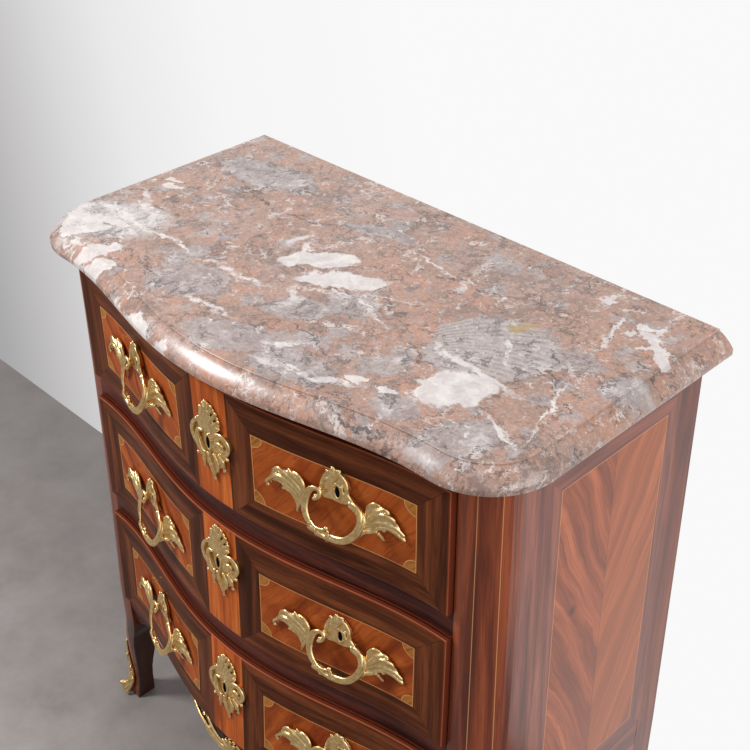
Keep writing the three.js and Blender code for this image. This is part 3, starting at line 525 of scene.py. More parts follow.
STRIP_HALF = 0.031
KEYHOLE_RISES = (0.005, 0.027, 0.017)
KEYHOLE_HALF = (0.0034, 0.0095)
KEYHOLE_DROP = 0.002
PANEL_LEFT = 0.068
PANEL_RIGHT = 0.279
PANEL_ABOVE = 0.040
PANEL_BELOW = 0.035
CORNER_REACH = 0.0155
EDGE_BAND = 0.0028
EDGE_LINE = (0.0001, 0.0004)


def drawer_edges(g, colour, to_edge):
    """The lighter wood that frames a drawer, patchy in tone, with a painted highlight along its crest."""
    tone_and_highlight_patches = g.noise(g.place, 30.0, 4.0, 0.6)
    rim = g.fall(to_edge, EDGE_BAND * 0.7, EDGE_BAND) * g.scale_to(tone_and_highlight_patches, 0.4, 0.9)
    colour = g.mix(rim, colour, EDGE_WOOD)
    # Painted highlight: a thin bright line along the crest of the rounded edge.
    crest = g.fall(abs(to_edge - EDGE_BAND * 0.3), 0.0, EDGE_BAND * 0.25)
    colour = g.mix(crest * g.scale_to(tone_and_highlight_patches, 0.1, 0.8), colour, EDGE_PAINTED_HIGHLIGHT)
    return g.mix(g.fall(to_edge, *EDGE_LINE), colour, SIDE_WOOD)


def drawer_material(bay):
    g = Surface(f"drawer_veneer_{bay}")
    px, py, pz = g.split(g.place)
    side = abs(px)
    bottom, top = (corner.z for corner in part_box(f"{LEVELS[bay]}_drawer_front"))
    low, high = (PANEL_LEFT, bottom + PANEL_BELOW), (PANEL_RIGHT, top - PANEL_ABOVE)
    from_x, from_z, in_panel, string, upright = panel_frame(g, side, pz, low, high)
    corner = g.math("SQRT", from_x * from_x + from_z * from_z)
    in_corner = in_panel * g.fall(corner, CORNER_REACH - SHARP, CORNER_REACH + SHARP)
    arc = in_panel * g.fall(abs(corner - CORNER_REACH), *STRING)

    seed = 3.7 * bay
    fine, colour = banding(g, upright, px, pz, py, DARK_VENEER, 1.0, (seed, seed + 5))
    colour = g.mix(g.fall(abs(from_x - from_z), *SEAM) * 0.7, colour, (30, 14, 12))

    slant_along = side * 0.62 + pz * 0.78
    slant_across = side * 0.78 - pz * 0.62 + g.noise(g.place, 11.0, 3.0) * 0.03
    fine_p, coarse_p = grain(g, slant_along, slant_across, py, 0.7, seed + 9)
    panel = veneer_colour(g, fine_p, coarse_p, PANEL_VENEER, g.noise(g.place, 16.0, 3.0))
    blush = g.spots(g.place, 0.50, 0.66, 19.0, 4.0, 0.6)
    panel = g.mix(blush * 0.45, panel, (120, 40, 20))
    fine_s, coarse_s = grain(g, pz, px, py, 1.2, seed + 2)
    strip = veneer_colour(g, fine_s, coarse_s, STRIP_VENEER)

    colour = g.mix(in_panel, colour, panel)
    colour = g.mix(in_corner, colour, g.mix(g.step(fine_p, 0.45, 0.65), CORNER_WOOD, CORNER_SHADE))
    colour = g.mix(g.either(string, arc) * 0.8, colour, BOXWOOD)
    colour = g.mix(g.fall(side, STRIP_HALF - SHARP, STRIP_HALF + SHARP), colour, strip)
    colour = g.mix(g.fall(abs(side - STRIP_HALF), *SEAM) * 0.6, colour, (40, 18, 14))
    colour = drawer_edges(g, colour, g.both(g.both(HALF_DRAWER - side, top - pz), pz - bottom))
    # Painted shade: a near-black spot on the veneer where the keyhole goes into the wood.
    hole_x = px / KEYHOLE_HALF[0]
    hole_z = (pz - (bay_middle(bay) + KEYHOLE_RISES[bay] - KEYHOLE_DROP)) / KEYHOLE_HALF[1]
    colour = g.mix(g.fall(hole_x * hole_x + hole_z * hole_z, 0.8, 1.2), colour, (6.6, 4.9, 3.3))
    polished(g, colour, fine, 0.0, 0.05)
    return g.material


POST_CENTRE_Y = BACK - (CASE_DEPTH - RAIL_RECESS - POST_WIDTH)
POST_STRING_ANGLES = (-62.0, -30.0)
POST_STRING_FOOT = (LEG_HEIGHT - 0.06, LEG_HEIGHT - 0.05)
POST_STRING_EDGE = (HALF_OPENING + 0.004, HALF_OPENING + 0.006)
LEG_SHADE_TOP = (LEG_HEIGHT - 0.08, LEG_HEIGHT - 0.04)
LEG_SHADE_EDGE = (0.3495, 0.3515)


def post_material():
    g = Surface("post_veneer")
    px, py, pz = g.split(g.place)
    side = abs(px)
    fine, coarse = grain(g, pz, px + py, py, 0.9, 1.3)
    colour = veneer_colour(g, fine, coarse, POST_VENEER)
    turn = g.math("ARCTAN2", py - POST_CENTRE_Y, side - HALF_OPENING)
    for angle in POST_STRING_ANGLES:
        line = g.fall(abs(turn - math.radians(angle)), 0.006, 0.013) * g.step(pz, *POST_STRING_FOOT)
        colour = g.mix(line * g.step(side, *POST_STRING_EDGE) * 0.8, colour, BOXWOOD)
    # Painted shade on the inner faces of the legs, over their darker bare wood.
    inner = g.fall(pz, *LEG_SHADE_TOP) * g.fall(side, *LEG_SHADE_EDGE)
    colour = g.mix(inner * 0.8, colour, (30, 18, 14))
    polished(g, colour, fine, 0.32, 0.30)
    return g.material


SIDE_PANEL_LOW = (BACK - 0.246, 0.290)
SIDE_PANEL_HIGH = (BACK - 0.062, 0.775)
KNOT_PLACE = (0.0, BACK - 0.212, 0.585)
KNOT_RADII = (0.002, 0.010)


def side_material():
    g = Surface("side_veneer")
    px, py, pz = g.split(g.place)
    _, _, in_panel, string, upright = panel_frame(g, py, pz, SIDE_PANEL_LOW, SIDE_PANEL_HIGH)
    fine, colour = banding(g, upright, py, pz, px, SIDE_BANDING, 0.9, (4.1, 8.3))
    from_seam = py - (SIDE_PANEL_LOW[0] + SIDE_PANEL_HIGH[0]) / 2
    half = abs(from_seam)
    along = half * 0.42 + pz * 0.91
    across = half * 0.91 - pz * 0.42 + g.noise(g.place, 7.0, 3.0) * 0.035
    fine_p, coarse_p = grain(g, along, across, px, 0.8, 2.2)
    panel = veneer_colour(g, fine_p, coarse_p, SIDE_VENEER, g.noise(g.place, 9.0, 3.0))
    panel = g.mix(g.step(from_seam, -SHARP, SHARP) * 0.30, panel, (196, 112, 62))
    knot = g.vector("LENGTH", g.minus(g.combine(0.0, py, pz), KNOT_PLACE), None, "Value")
    panel = g.mix(g.fall(knot, *KNOT_RADII) * 0.6, panel, (62, 34, 28))
    panel = g.mix(g.fall(half, SHARP, 3.5 * SHARP) * 0.6, panel, (84, 44, 30))
    colour = g.mix(in_panel, colour, panel)
    colour = g.mix(string * 0.75, colour, BOXWOOD)
    polished(g, colour, fine, 0.27, 0.26)
    return g.material


def dark_material():
    g = Surface("rail_veneer")
    px, py, pz = g.split(g.place)
    fine, coarse = grain(g, px, pz, py, 0.9, 6.4)
    polished(g, veneer_colour(g, fine, coarse, RAIL_VENEER), fine)
    return g.material


def oak_material(name, along):
    g = Surface(name)
    parts = g.split(g.place)
    fine, coarse = grain(g, parts.pop(along), *parts, 0.8, 7.9)
    base = g.ramp(coarse, (0.30, (124, 84, 54)), (0.5, (164, 118, 80)), (0.72, (190, 146, 104)))
    g.set(Base_Color=g.mix(g.step(fine, 0.5, 0.7) * 0.4, base, (100, 66, 42)), Roughness=0.7)
    g.bump(fine, OAK_PORE_DEPTH, 0.35)
    return g.material


def bronze_material():
    g = Surface("gilt_bronze")
    pointed = g.node("NewGeometry", {}, "Pointiness")
    mottle = g.noise(g.place, 220.0, 4.0, 0.6)
    gold = g.ramp(mottle, (0.35, (222, 186, 122)), (0.55, (242, 212, 152)), (0.75, (252, 234, 188)))
    # Painted shade darkens the hollows and a painted highlight lightens the ridges, both from the pointiness.
    colour = g.mix(g.fall(pointed, 0.40, 0.50) * 0.6, gold, (104, 78, 42))
    colour = g.mix(g.step(pointed, 0.52, 0.60) * 0.6, colour, (248, 236, 204))
    g.set(Base_Color=colour, Metallic=1.0, Roughness=g.scale_to(mottle, 0.26, 0.42))
    g.bump(g.noise(g.place, 900.0, 3.0, 0.6), BRONZE_GRAIN, 0.35)
    return g.material


def steel_material():
    g = Surface("lock_steel")
    colour = g.ramp(g.noise(g.place, 120.0, 4.0), (0.3, (70, 64, 58)), (0.7, (128, 120, 112)))
    g.set(Base_Color=colour, Metallic=1.0, Roughness=0.5)
    g.bump(g.noise(g.place, 600.0, 2.0), STEEL_GRAIN, 0.3)
    return g.material


# Painted shade: a near-black material for the cups that stand for the darkness inside the keyholes.
def keyhole_shade_material():
    g = Surface("keyhole_painted_shade")
    g.set(Base_Color=(0.003, 0.002, 0.0015, 1.0), Roughness=0.9)
    return g.material


MARBLE = marble_material()
DRAWERS = [drawer_material(bay) for bay in range(3)]
POST = post_material()
SIDE = side_material()
RAIL = dark_material()
OAK_X = oak_material("oak_across", 0)
OAK_Y = oak_material("oak_deep", 1)
OAK_Z = oak_material("oak_upright", 2)
BRONZE = bronze_material()
STEEL = steel_material()
KEYHOLE_SHADE = keyhole_shade_material()

NODE_LOOKS = {
    "marble_top": MARBLE, "back_board": OAK_Z, "left_side_board": SIDE, "right_side_board": SIDE,
    **dict.fromkeys(("left_front_post", "right_front_post", "left_rear_post", "right_rear_post"), POST),
    **dict.fromkeys(RAILS, RAIL),
    **dict.fromkeys(("bottom_board", "top_rear_rail", "bottom_rear_rail"), OAK_X),
    **dict.fromkeys(("upper_dust_board", "lower_dust_board", "top_middle_batten"), OAK_Y),
}
for bay, level in enumerate(LEVELS):
    drawer = f"{level}_drawer"
    NODE_LOOKS |= {
        f"{level}_left_runner": OAK_Y, f"{level}_right_runner": OAK_Y, f"{drawer}_front": DRAWERS[bay],
        f"{drawer}_left_side": OAK_Y, f"{drawer}_right_side": OAK_Y, f"{drawer}_bottom": OAK_X,
        f"{drawer}_back": OAK_X, f"{drawer}_lock_case": STEEL, f"{drawer}_lock_bolt": STEEL,
    }
for name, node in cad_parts.items():
    dress(node, NODE_LOOKS.get(name, BRONZE))
    smooth(node, BOARD_SMOOTHING if name in NODE_LOOKS else SOLID_BRONZE_SMOOTHING)

# Marble top with a finely rounded edge
MARBLE_BOW = 0.048
MARBLE_BOW_POWER = 2.3
MARBLE_CORNER = 0.084
MARBLE_INSET = 0.019
MARBLE_STEP = 0.002
MARBLE_STEP_ROUND = 0.0005
MARBLE_LOWER_EDGE = 0.007
MARBLE_ARRIS = 0.0012
MARBLE_EDGE_POWER = 1.6


def marble_outline(inset):
    half = MARBLE_HIGH.x
    front = MARBLE_LOW.y - MARBLE_HIGH.y + MARBLE_BOW
    radius = MARBLE_CORNER
    span = half - radius
    edge = [(half, 0.0)]
    for angle in np.linspace(0, math.pi / 2, 20):
        edge.append((span + radius * math.cos(angle), front + radius - radius * math.sin(angle)))
    for x in np.linspace(span, 0, 40)[1:]:
        edge.append((x, front - MARBLE_BOW * (1 - (x / span) ** 2) ** MARBLE_BOW_POWER))
    whole = edge + [(-x, y) for x, y in reversed(edge[:-1])]
    points = []
    for i, (x, y) in enumerate(whole):
        before = whole[max(0, i - 1)]
        after = whole[min(len(whole) - 1, i + 1)]
        dx, dy = after[0] - before[0], after[1] - before[1]
        size = math.hypot(dx, dy)
        end = i in (0, len(whole) - 1)
        points.append((x + dy / size * inset, 0.0 if end else y - dx / size * inset))
    return points


def marble_top():
    round_top = MARBLE_HIGH.z - MARBLE_STEP
    round_bottom = CASE_TOP + MARBLE_LOWER_EDGE
    profile = [(MARBLE_ARRIS, CASE_TOP), (MARBLE_ARRIS / 4, CASE_TOP + MARBLE_ARRIS / 3),
               (0.0, CASE_TOP + MARBLE_ARRIS), (0.0, round_bottom)]
    for angle in np.linspace(0, math.pi / 2, 16)[1:]:
        profile.append((MARBLE_INSET * (1 - math.cos(angle) ** MARBLE_EDGE_POWER),
                        round_bottom + (round_top - round_bottom) * math.sin(angle) ** MARBLE_EDGE_POWER))
    profile.append((MARBLE_INSET, MARBLE_HIGH.z - MARBLE_STEP_ROUND))
    profile.append((MARBLE_INSET + MARBLE_STEP_ROUND, MARBLE_HIGH.z))
    rings = [[Vector((x, y + BACK, z)) for x, y in marble_outline(inset)] for inset, z in profile]
    return new_object("marble_slab", *loft(rings), MARBLE_SMOOTHING, closed=True)


lay(marble_top(), MARBLE, "case", "marble_top")

# Veneer laid over each drawer front
SKIN = 0.00035
SKIN_ROUND = 0.0022
SKIN_ROUND_SHARES = (0.0, 0.06, 0.18, 0.36, 0.6, 1.0)
SKIN_SIDE = 0.0065


def drawer_skin(bay):
    bottom, top = (corner.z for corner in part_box(f"{LEVELS[bay]}_drawer_front"))
    rise = [SKIN_ROUND * share for share in SKIN_ROUND_SHARES]

    def stations(low, high, count):
        """Places from one edge to the other; the first and last are the rear lines of the sides."""
        inner = list(np.linspace(low + SKIN_ROUND, high - SKIN_ROUND, count)[1:-1])
        return [low, *(low + r for r in rise), *inner, *(high - r for r in reversed(rise)), high]

    def round_off(i, places):
        if i in (0, len(places) - 1):
            return SKIN_SIDE
        left = max(0.0, SKIN_ROUND - min(places[i] - places[0], places[-1] - places[i]))
        return SKIN_ROUND - math.sqrt(SKIN_ROUND ** 2 - left ** 2)

    heights = stations(bottom, top, 14)
    xs = stations(-HALF_DRAWER, HALF_DRAWER, 90)
    verts, faces = [], []
    for r, z in enumerate(heights):
        for i, x in enumerate(xs):
            back = max(round_off(r, heights), round_off(i, xs))
            verts.append((x * (1 + SKIN), float(front_y(x, z)) + back - SKIN, z))
    count = len(xs)
    for r in range(len(heights) - 1):
        for i in range(count - 1):
            faces.append((r * count + i, r * count + i + 1, (r + 1) * count + i + 1, (r + 1) * count + i))
    skin = new_object(f"{LEVELS[bay]}_drawer_veneer", verts, faces, CURVED_SMOOTHING)
    lay(skin, DRAWERS[bay], f"{LEVELS[bay]}_drawer")


for bay in range(3):
    drawer_skin(bay)

# Bronze castings, drawn flat in millimetres (across, up, proud) and then laid on the wood
CAST_VOXEL = 0.00062
BRONZE_STAND_OFF = 0.4
SHADE_CUP_FLOOR = 0.5
CUTTER_REACH = (-8.0, 30.0)
FIRST_SIDE = (0.3, 0.2, 1.0)
DOME_SHARES = ((0.8, 0.55), (0.4, 0.9))
BEAD_SHARES = (0.92, 0.15)
WEB_SHARES = (0.33, 0.67)
WEB_RADIUS_SHARES = (0.8, 0.62, 0.6)
WEB_POINTS = 24
BUNDLE_POINTS = 60
TINY = 1e-9


def unit(vector):
    return vector / (np.linalg.norm(vector) + TINY)


def spline(points, steps=7):
    """A smooth line through the points, whatever their width."""
    rows = np.array(points, float)
    if len(rows) == 2:
        return np.array([rows[0] + (rows[1] - rows[0]) * t for t in np.linspace(0, 1, steps)])
    padded = np.vstack([2 * rows[0] - rows[1], rows, 2 * rows[-1] - rows[-2]])
    out = []
    for i in range(1, len(padded) - 2):
        p0, p1, p2, p3 = padded[i - 1:i + 3]
        for t in np.linspace(0, 1, steps, endpoint=False):
            out.append(0.5 * (2 * p1 + (p2 - p0) * t + (2 * p0 - 5 * p1 + 4 * p2 - p3) * t * t
                              + (3 * p1 - p0 - 3 * p2 + p3) * t ** 3))
    out.append(padded[-2])
    return np.array(out)


def resampled(line, count):
    gaps = np.linalg.norm(np.diff(line, axis=0), axis=1)
    run = np.concatenate([[0], np.cumsum(gaps)])
    places = np.linspace(0, run[-1], count)
    return np.array([[np.interp(p, run, line[:, k]) for k in range(line.shape[1])] for p in places])


def turning_sides(line, side=None):
    """Two directions square to the line at each of its points, with no sudden turn."""
    for i in range(len(line)):
        ahead = unit(line[min(i + 1, len(line) - 1)] - line[max(i - 1, 0)])
        if side is None:
            side = np.cross(ahead, FIRST_SIDE)
        side = unit(side - ahead * np.dot(side, ahead))
        yield side, np.cross(ahead, side)


def tube(line, radii, sides=10):
    """A round strand with domed ends along a line, with a radius for each of its points."""
    line = np.array(line)
    angles = [2 * math.pi * k / sides for k in range(sides)]
    rings = []
    for point, radius, (side, other) in zip(line, radii, turning_sides(line)):
        rings.append([point + radius * (side * math.cos(a) + other * math.sin(a)) for a in angles])
    ends = [(rings[0], line[0], unit(line[0] - line[1]) * radii[0]),
            (rings[-1], line[-1], unit(line[-1] - line[-2]) * radii[-1])]
    for share, depth in DOME_SHARES:
        first, last = (
            [middle + (p - middle) * share + way * depth for p in ring] for ring, middle, way in ends
        )
        rings = [first, *rings, last]
    return loft(rings)


def strand_radii(count, start, middle, end):
    radii = []
    for t in np.linspace(0, 1, count):
        radii.append(start + (middle - start) * t * 2 if t < 0.5 else middle + (end - middle) * (t * 2 - 1))
    return radii


def cast_strand(points, start, middle, end):
    line = spline(points)
    return tube(line, strand_radii(len(line), start, middle, end))


def cast_bead(place, radius):
    place = np.array(place, float)
    thick, high = (radius * share for share in BEAD_SHARES)
    return tube([place - (0, 0, high), place + (0, 0, high)], [thick, thick], 12)


def cast_leaf(ribs, radii, sink=0.9):
    """Ribs that fan out, with two thinner webs between each two."""
    parts = [cast_strand(rib, *radii) for rib in ribs]
    thin = [radius * share for radius, share in zip(radii, WEB_RADIUS_SHARES)]
    for pair in zip(ribs, ribs[1:]):
        one, two = (resampled(spline(rib), WEB_POINTS) for rib in pair)
        for share in WEB_SHARES:
            line = one * (1 - share) + two * share
            line[:, 2] -= sink
            parts.append(tube(line, strand_radii(WEB_POINTS, *thin), 8))
    return parts


def cast_bundle(points, radius, spread, turns, count):
    """Strands that wind round one line."""
    line = resampled(spline(points), BUNDLE_POINTS)
    parts = []
    for k in range(count):
        path = []
        for i, (side, other) in enumerate(turning_sides(line, np.array(FIRST_SIDE))):
            angle = 2 * math.pi * (k / count + turns * i / (len(line) - 1))
            path.append(line[i] + spread * (side * math.cos(angle) + other * math.sin(angle)))
        parts.append(tube(path, [radius] * len(path)))
    return parts


def cast_plate(outline, low, high):
    """A flat plate with a smooth outline and slightly rounded edges."""
    line = spline(list(outline) + [outline[0]], 3)[:-1]
    middle = line.mean(axis=0)
    rings = []
    for level, share in ((low, 0.97), (low + 0.3, 1.0), (high - 0.6, 1.0), (high, 0.965)):
        rings.append([np.array((*(middle + (p - middle) * share), level)) for p in line])
    return loft(rings)


def ellipse(middle, half, grown, proud, count=24, closed=False):
    """Points round a slot that is grown on all sides; a closed one ends where it starts."""
    angles = np.linspace(0, 2 * math.pi, count, endpoint=closed)
    across, up = half[0] + grown, half[1] + grown
    return [np.array((middle[0] + across * math.cos(a), middle[1] + up * math.sin(a), proud)) for a in angles]


def cast_loop(middle, half, grown, proud, radius):
    line = ellipse(middle, half, grown, proud, 28, True)
    return tube(line, [radius] * len(line))


HANDLE_LEFT_RIBS = (
    ((-31, 6, 8), (-34, 14, 8), (-41, 21, 6), (-48, 22, 4)),
    ((-32, 3, 9), (-37, 12, 8), (-46, 19, 7), (-55, 23, 4)),
    ((-33, -1, 9), (-40, 8, 9), (-51, 14, 8), (-59, 18, 8), (-66, 21, 7), (-73, 17, 6), (-76, 11, 5)),
    ((-35, -6, 9), (-42, 3, 9), (-53, 8, 8), (-63, 11, 8), (-72, 8, 7), (-80, 1, 6), (-86, -6, 5),
     (-85, -10, 4)),
    ((-37, -13, 8), (-45, -3, 8), (-56, 1, 7), (-66, 2, 5), (-73, 0, 3)),
    ((-42, -22, 6), (-46, -10, 7), (-50, -4, 7), (-57, -4, 6), (-63, -5, 4)),
)
HANDLE_LEFT_SPUR = ((-31, 3, 9), (-37, -10, 8), (-43, -21, 6), (-47, -31, 3))
HANDLE_SCROLL = (
    (-16, 5, 12), (-12, 8, 11), (-12, 14, 9), (-18, 16, 9), (-24, 12, 10), (-27, 3, 12),
    (-27, -7, 15), (-24, -16, 18), (-18, -24, 20), (-10, -29, 22),
)
HANDLE_BOW = (
    (-12, -27, 22), (0, -30, 23), (12, -30, 24), (22, -29, 24), (31, -25, 23), (38, -17, 21), (42, -8, 18),
    (43, 1, 15), (40, 8, 12), (34, 12, 10), (27, 13, 8),
)
HANDLE_RIGHT_STEM = (
    (33, -23, 22), (41, -17, 18), (46, -12, 14), (51, -11, 11), (56, -10, 8), (59, -14, 6), (62, -21, 3),
)
HANDLE_RIGHT_RIBS = (
    ((44, -4, 12), (46, 9, 9), (47, 18, 7), (52, 24, 6), (57, 24, 5)),
    ((45, -3, 12), (51, 9, 9), (58, 17, 8), (65, 22, 6), (69, 20, 5)),
    ((46, -4, 12), (53, 7, 9), (62, 15, 9), (70, 17, 8), (76, 14, 6), (78, 8, 5)),
    ((46, -6, 11), (56, 2, 8), (66, 6, 8), (74, 6, 7), (81, 3, 5), (87, -3, 3)),
    ((46, -9, 11), (54, -8, 8), (62, -3, 7), (70, 0, 6), (78, -2, 5), (84, -6, 4), (88, -9, 3)),
)
HANDLE_GARLANDS = (
    ((43, 5, 13), (36, 11, 11), (28, 13, 9), (21, 17, 8), (16, 22, 8), (14, 29, 7)),
    ((32, 14, 9), (25, 18, 8), (21, 24, 8), (21, 31, 8), (19, 37, 7), (15, 43, 7), (9, 47, 6)),
)
HANDLE_SHELL_HUB = (3, 32, 7)
HANDLE_SHELL_RIM = ((-9, 34, 5), (-5, 43, 5), (2, 49, 5), (10, 48, 5))
HANDLE_PLATE = (
    (-17, 9), (-13, 19), (-11, 29), (-9, 38), (-2, 46), (5, 48), (11, 46), (16, 40), (20, 34), (22, 26),
    (20, 19), (27, 13), (16, 6), (6, 5), (-1, 6), (-10, 5),
)
HANDLE_BEADS = (
    (7, -19, 25, 2.6), (-3, -37, 20, 2.6), (5, -39, 20, 2.8), (66, -4, 7, 2.4), (57, -9, 9, 2.2),
    (-63, -6, 4, 2.4), (-85, -11, 4, 2.4), (-15, 8, 11, 3.0), (26, 15, 10, 2.6), (30, 9, 10, 2.2),
)
HANDLE_KNUCKLES = (
    ((-14, -20, 22), (-6, -22, 26), (2, -22, 27), (8, -19, 25)),
    ((10, -22, 26), (9, -30, 27), (6, -38, 22)),
    ((-4, -24, 26), (-5, -32, 25), (-3, -37, 21)),
    ((-14, -22, 24), (-15, -28, 24), (-12, -33, 22)),
)
HANDLE_PLATE_RIMS = (
    ((-15, 9, 6), (-12, 19, 6), (-10, 28, 6), (-6, 38, 6), (1, 46, 6)),
    ((26, 12, 7), (20, 17, 7), (21, 26, 7), (18, 35, 6), (12, 44, 6)),
)
HANDLE_RELIEF = 0.9
HANDLE_SLOT = ((7.5, 20.0), (2.9, 7.5))
HANDLE_STUDS = ((-48, 3), (55, 2), (4, 30))


def handle_casting():
    parts = cast_leaf(HANDLE_LEFT_RIBS, (1.6, 2.6, 1.7))
    parts.append(cast_strand(HANDLE_LEFT_SPUR, 1.8, 2.6, 1.6))
    parts += cast_bundle(HANDLE_SCROLL, 2.5, 1.5, 0.35, 2)
    parts += cast_bundle(HANDLE_BOW, 2.9, 2.2, 0.5, 3)
    parts += cast_leaf(HANDLE_RIGHT_RIBS, (1.7, 2.9, 1.9))
    parts.append(cast_strand(HANDLE_RIGHT_STEM, 3.0, 2.6, 1.7))
    parts += [cast_strand(line, 2.2, 2.4, 1.8) for line in HANDLE_GARLANDS]
    parts += [cast_strand(line, 1.5, 2.3, 1.5) for line in HANDLE_KNUCKLES]
    parts += [cast_strand((HANDLE_SHELL_HUB, tip), 1.8, 2.8, 2.2) for tip in HANDLE_SHELL_RIM]
    parts += [cast_bead(bead[:3], bead[3]) for bead in HANDLE_BEADS]
    parts.append(cast_plate(HANDLE_PLATE, BRONZE_STAND_OFF + 1.0, 5.2))
    parts += [cast_strand(line, 1.8, 2.6, 1.8) for line in HANDLE_PLATE_RIMS]
    parts.append(cast_loop(*HANDLE_SLOT, 1.4, 5.8, 1.3))
    parts += [tube([(x, z, -1.0), (x, z, 6.0)], [2.0, 2.0]) for x, z in HANDLE_STUDS]
    return parts


ESCUTCHEON_FAN_HUB = (2, 19, 8)
ESCUTCHEON_FAN_RIM = ((-10, 36), (-9, 45), (-3, 52), (4, 56), (12, 54), (19, 47), (23, 38), (22, 28))
ESCUTCHEON_STRANDS = (
    ((-6, 24, 7), (-14, 26, 7), (-22, 18, 7), (-25, 8, 7), (-22, -3, 7), (-16, -12, 6), (-12, -22, 5)),
    ((-5, 16, 8), (-12, 14, 8), (-14, 4, 8), (-10, -8, 8), (-5, -18, 7)),
    ((12, 13, 7), (19, 20, 7), (28, 22, 6), (36, 17, 6), (39, 8, 6), (35, 0, 6), (27, -5, 6)),
    ((15, 2, 8), (21, 9, 8), (28, 10, 8), (29, 3, 7)),
    ((21, -8, 6), (27, -14, 6), (28, -24, 4)),
    ((3, -12, 8), (5, -23, 7), (7, -34, 5), (9, -46, 3)),
    ((-4, -14, 7), (-6, -25, 6), (-8, -36, 4)),
    ((13, -10, 7), (18, -21, 6), (16, -33, 4)),
    ((-12, 30, 6), (-8, 24, 7), (2, 22, 8), (12, 24, 7), (20, 30, 6)),
)
ESCUTCHEON_BEADS = (
    (-20, -24, 4, 2.6), (35, -7, 5, 2.8), (28, -26, 4, 2.6), (-8, -37, 4, 2.4), (9, -47, 3, 2.4),
    (28, 3, 8, 3.2), (-14, 27, 7, 3.0), (3, 58, 5, 3.0),
)
ESCUTCHEON_PLATE = (
    (-9, 38), (-7, 27), (-15, 26), (-25, 18), (-27, 8), (-24, -2), (-17, -12), (-13, -22), (-8, -33),
    (-1, -31), (4, -37), (9, -43), (14, -34), (20, -28), (26, -22), (26, -15), (33, -10), (33, -4), (39, 4),
    (40, 12), (35, 21), (28, 23), (20, 19), (18, 23), (23, 30), (23, 37), (17, 48), (8, 56), (-1, 53),
    (-8, 46),
)
ESCUTCHEON_RELIEF = 0.76
ESCUTCHEON_SLOT = ((3.0, 2.0), (3.2, 8.5))


def escutcheon_casting():
    parts = []
    hub = np.array(ESCUTCHEON_FAN_HUB, float)
    for across, up in ESCUTCHEON_FAN_RIM:
        rim = np.array((across, up, 3.6))
        parts.append(cast_strand((hub, (hub + rim) / 2 + (0, 0, 2.0), rim), 1.8, 3.2, 2.4))
    parts += [cast_strand(line, 2.2, 3.4, 1.9) for line in ESCUTCHEON_STRANDS]
    parts += [cast_bead(bead[:3], bead[3]) for bead in ESCUTCHEON_BEADS]
    parts.append(cast_plate(ESCUTCHEON_PLATE, BRONZE_STAND_OFF, 3.6))
    parts.append(cast_loop(*ESCUTCHEON_SLOT, 1.5, 5.2, 1.6))
    return parts


def slot_shade_cup(middle, half, top):
    """A dark cup of painted shade inside a keyhole slot, as points in metres and faces."""
    levels = ((-0.05, SHADE_CUP_FLOOR), (-0.05, top), (-0.35, top), (-0.35, SHADE_CUP_FLOOR + 0.3))
    verts, faces = loft([ellipse(middle, half, grown, proud) for grown, proud in levels])
    return np.array(verts) * MM, faces


def millimetre_object(name, verts, faces):
    return new_object(name, np.array(verts) * MM, faces, closed=True)


def fused(parts, slot=None, relief=1.0):
    """One closed casting from many strands, cut through at its slot, as points in metres and faces."""
    verts, faces = [], []
    for part_verts, part_faces in parts:
        faces += [tuple(len(verts) + i for i in face) for face in part_faces]
        verts += part_verts
    obj = millimetre_object("casting_draft", verts, faces)
    remesh = obj.modifiers.new("cast", "REMESH")
    remesh.mode = "VOXEL"
    remesh.voxel_size = CAST_VOXEL
    soften = obj.modifiers.new("soften", "SMOOTH")
    soften.factor = 0.5
    soften.iterations = 1
    if slot:
        cut = obj.modifiers.new("cut", "BOOLEAN")
        cut.operation = "DIFFERENCE"
        cut.solver = "EXACT"
        cutter = loft([ellipse(*slot, 0.0, proud) for proud in CUTTER_REACH])
        cut.object = millimetre_object("cutter_draft", *cutter)
    mesh = obj.evaluated_get(bpy.context.evaluated_depsgraph_get()).to_mesh()
    points = np.array([v.co[:] for v in mesh.vertices])
    points[:, 2] *= relief
    polygons = [tuple(p.vertices) for p in mesh.polygons]
    obj.to_mesh_clear()
    if slot:
        bpy.data.objects.remove(cut.object)
    bpy.data.objects.remove(obj)
    return points, polygons


def lay_casting(name, casting, x, z, body, replaced=None, face=front_y):
    """Bends a flat casting onto a face. A cup of painted shade replaces no node."""
    points, faces = casting
    placed = [(x + across, float(face(x + across, z + up)) - proud, z + up) for across, up, proud in points]
    piece = new_object(name, placed, faces, CURVED_SMOOTHING, closed=True)
    if replaced:
        lay(piece, BRONZE, body, replaced)
    else:
        lay(piece, KEYHOLE_SHADE, body)


HANDLE = fused(handle_casting(), HANDLE_SLOT, HANDLE_RELIEF)
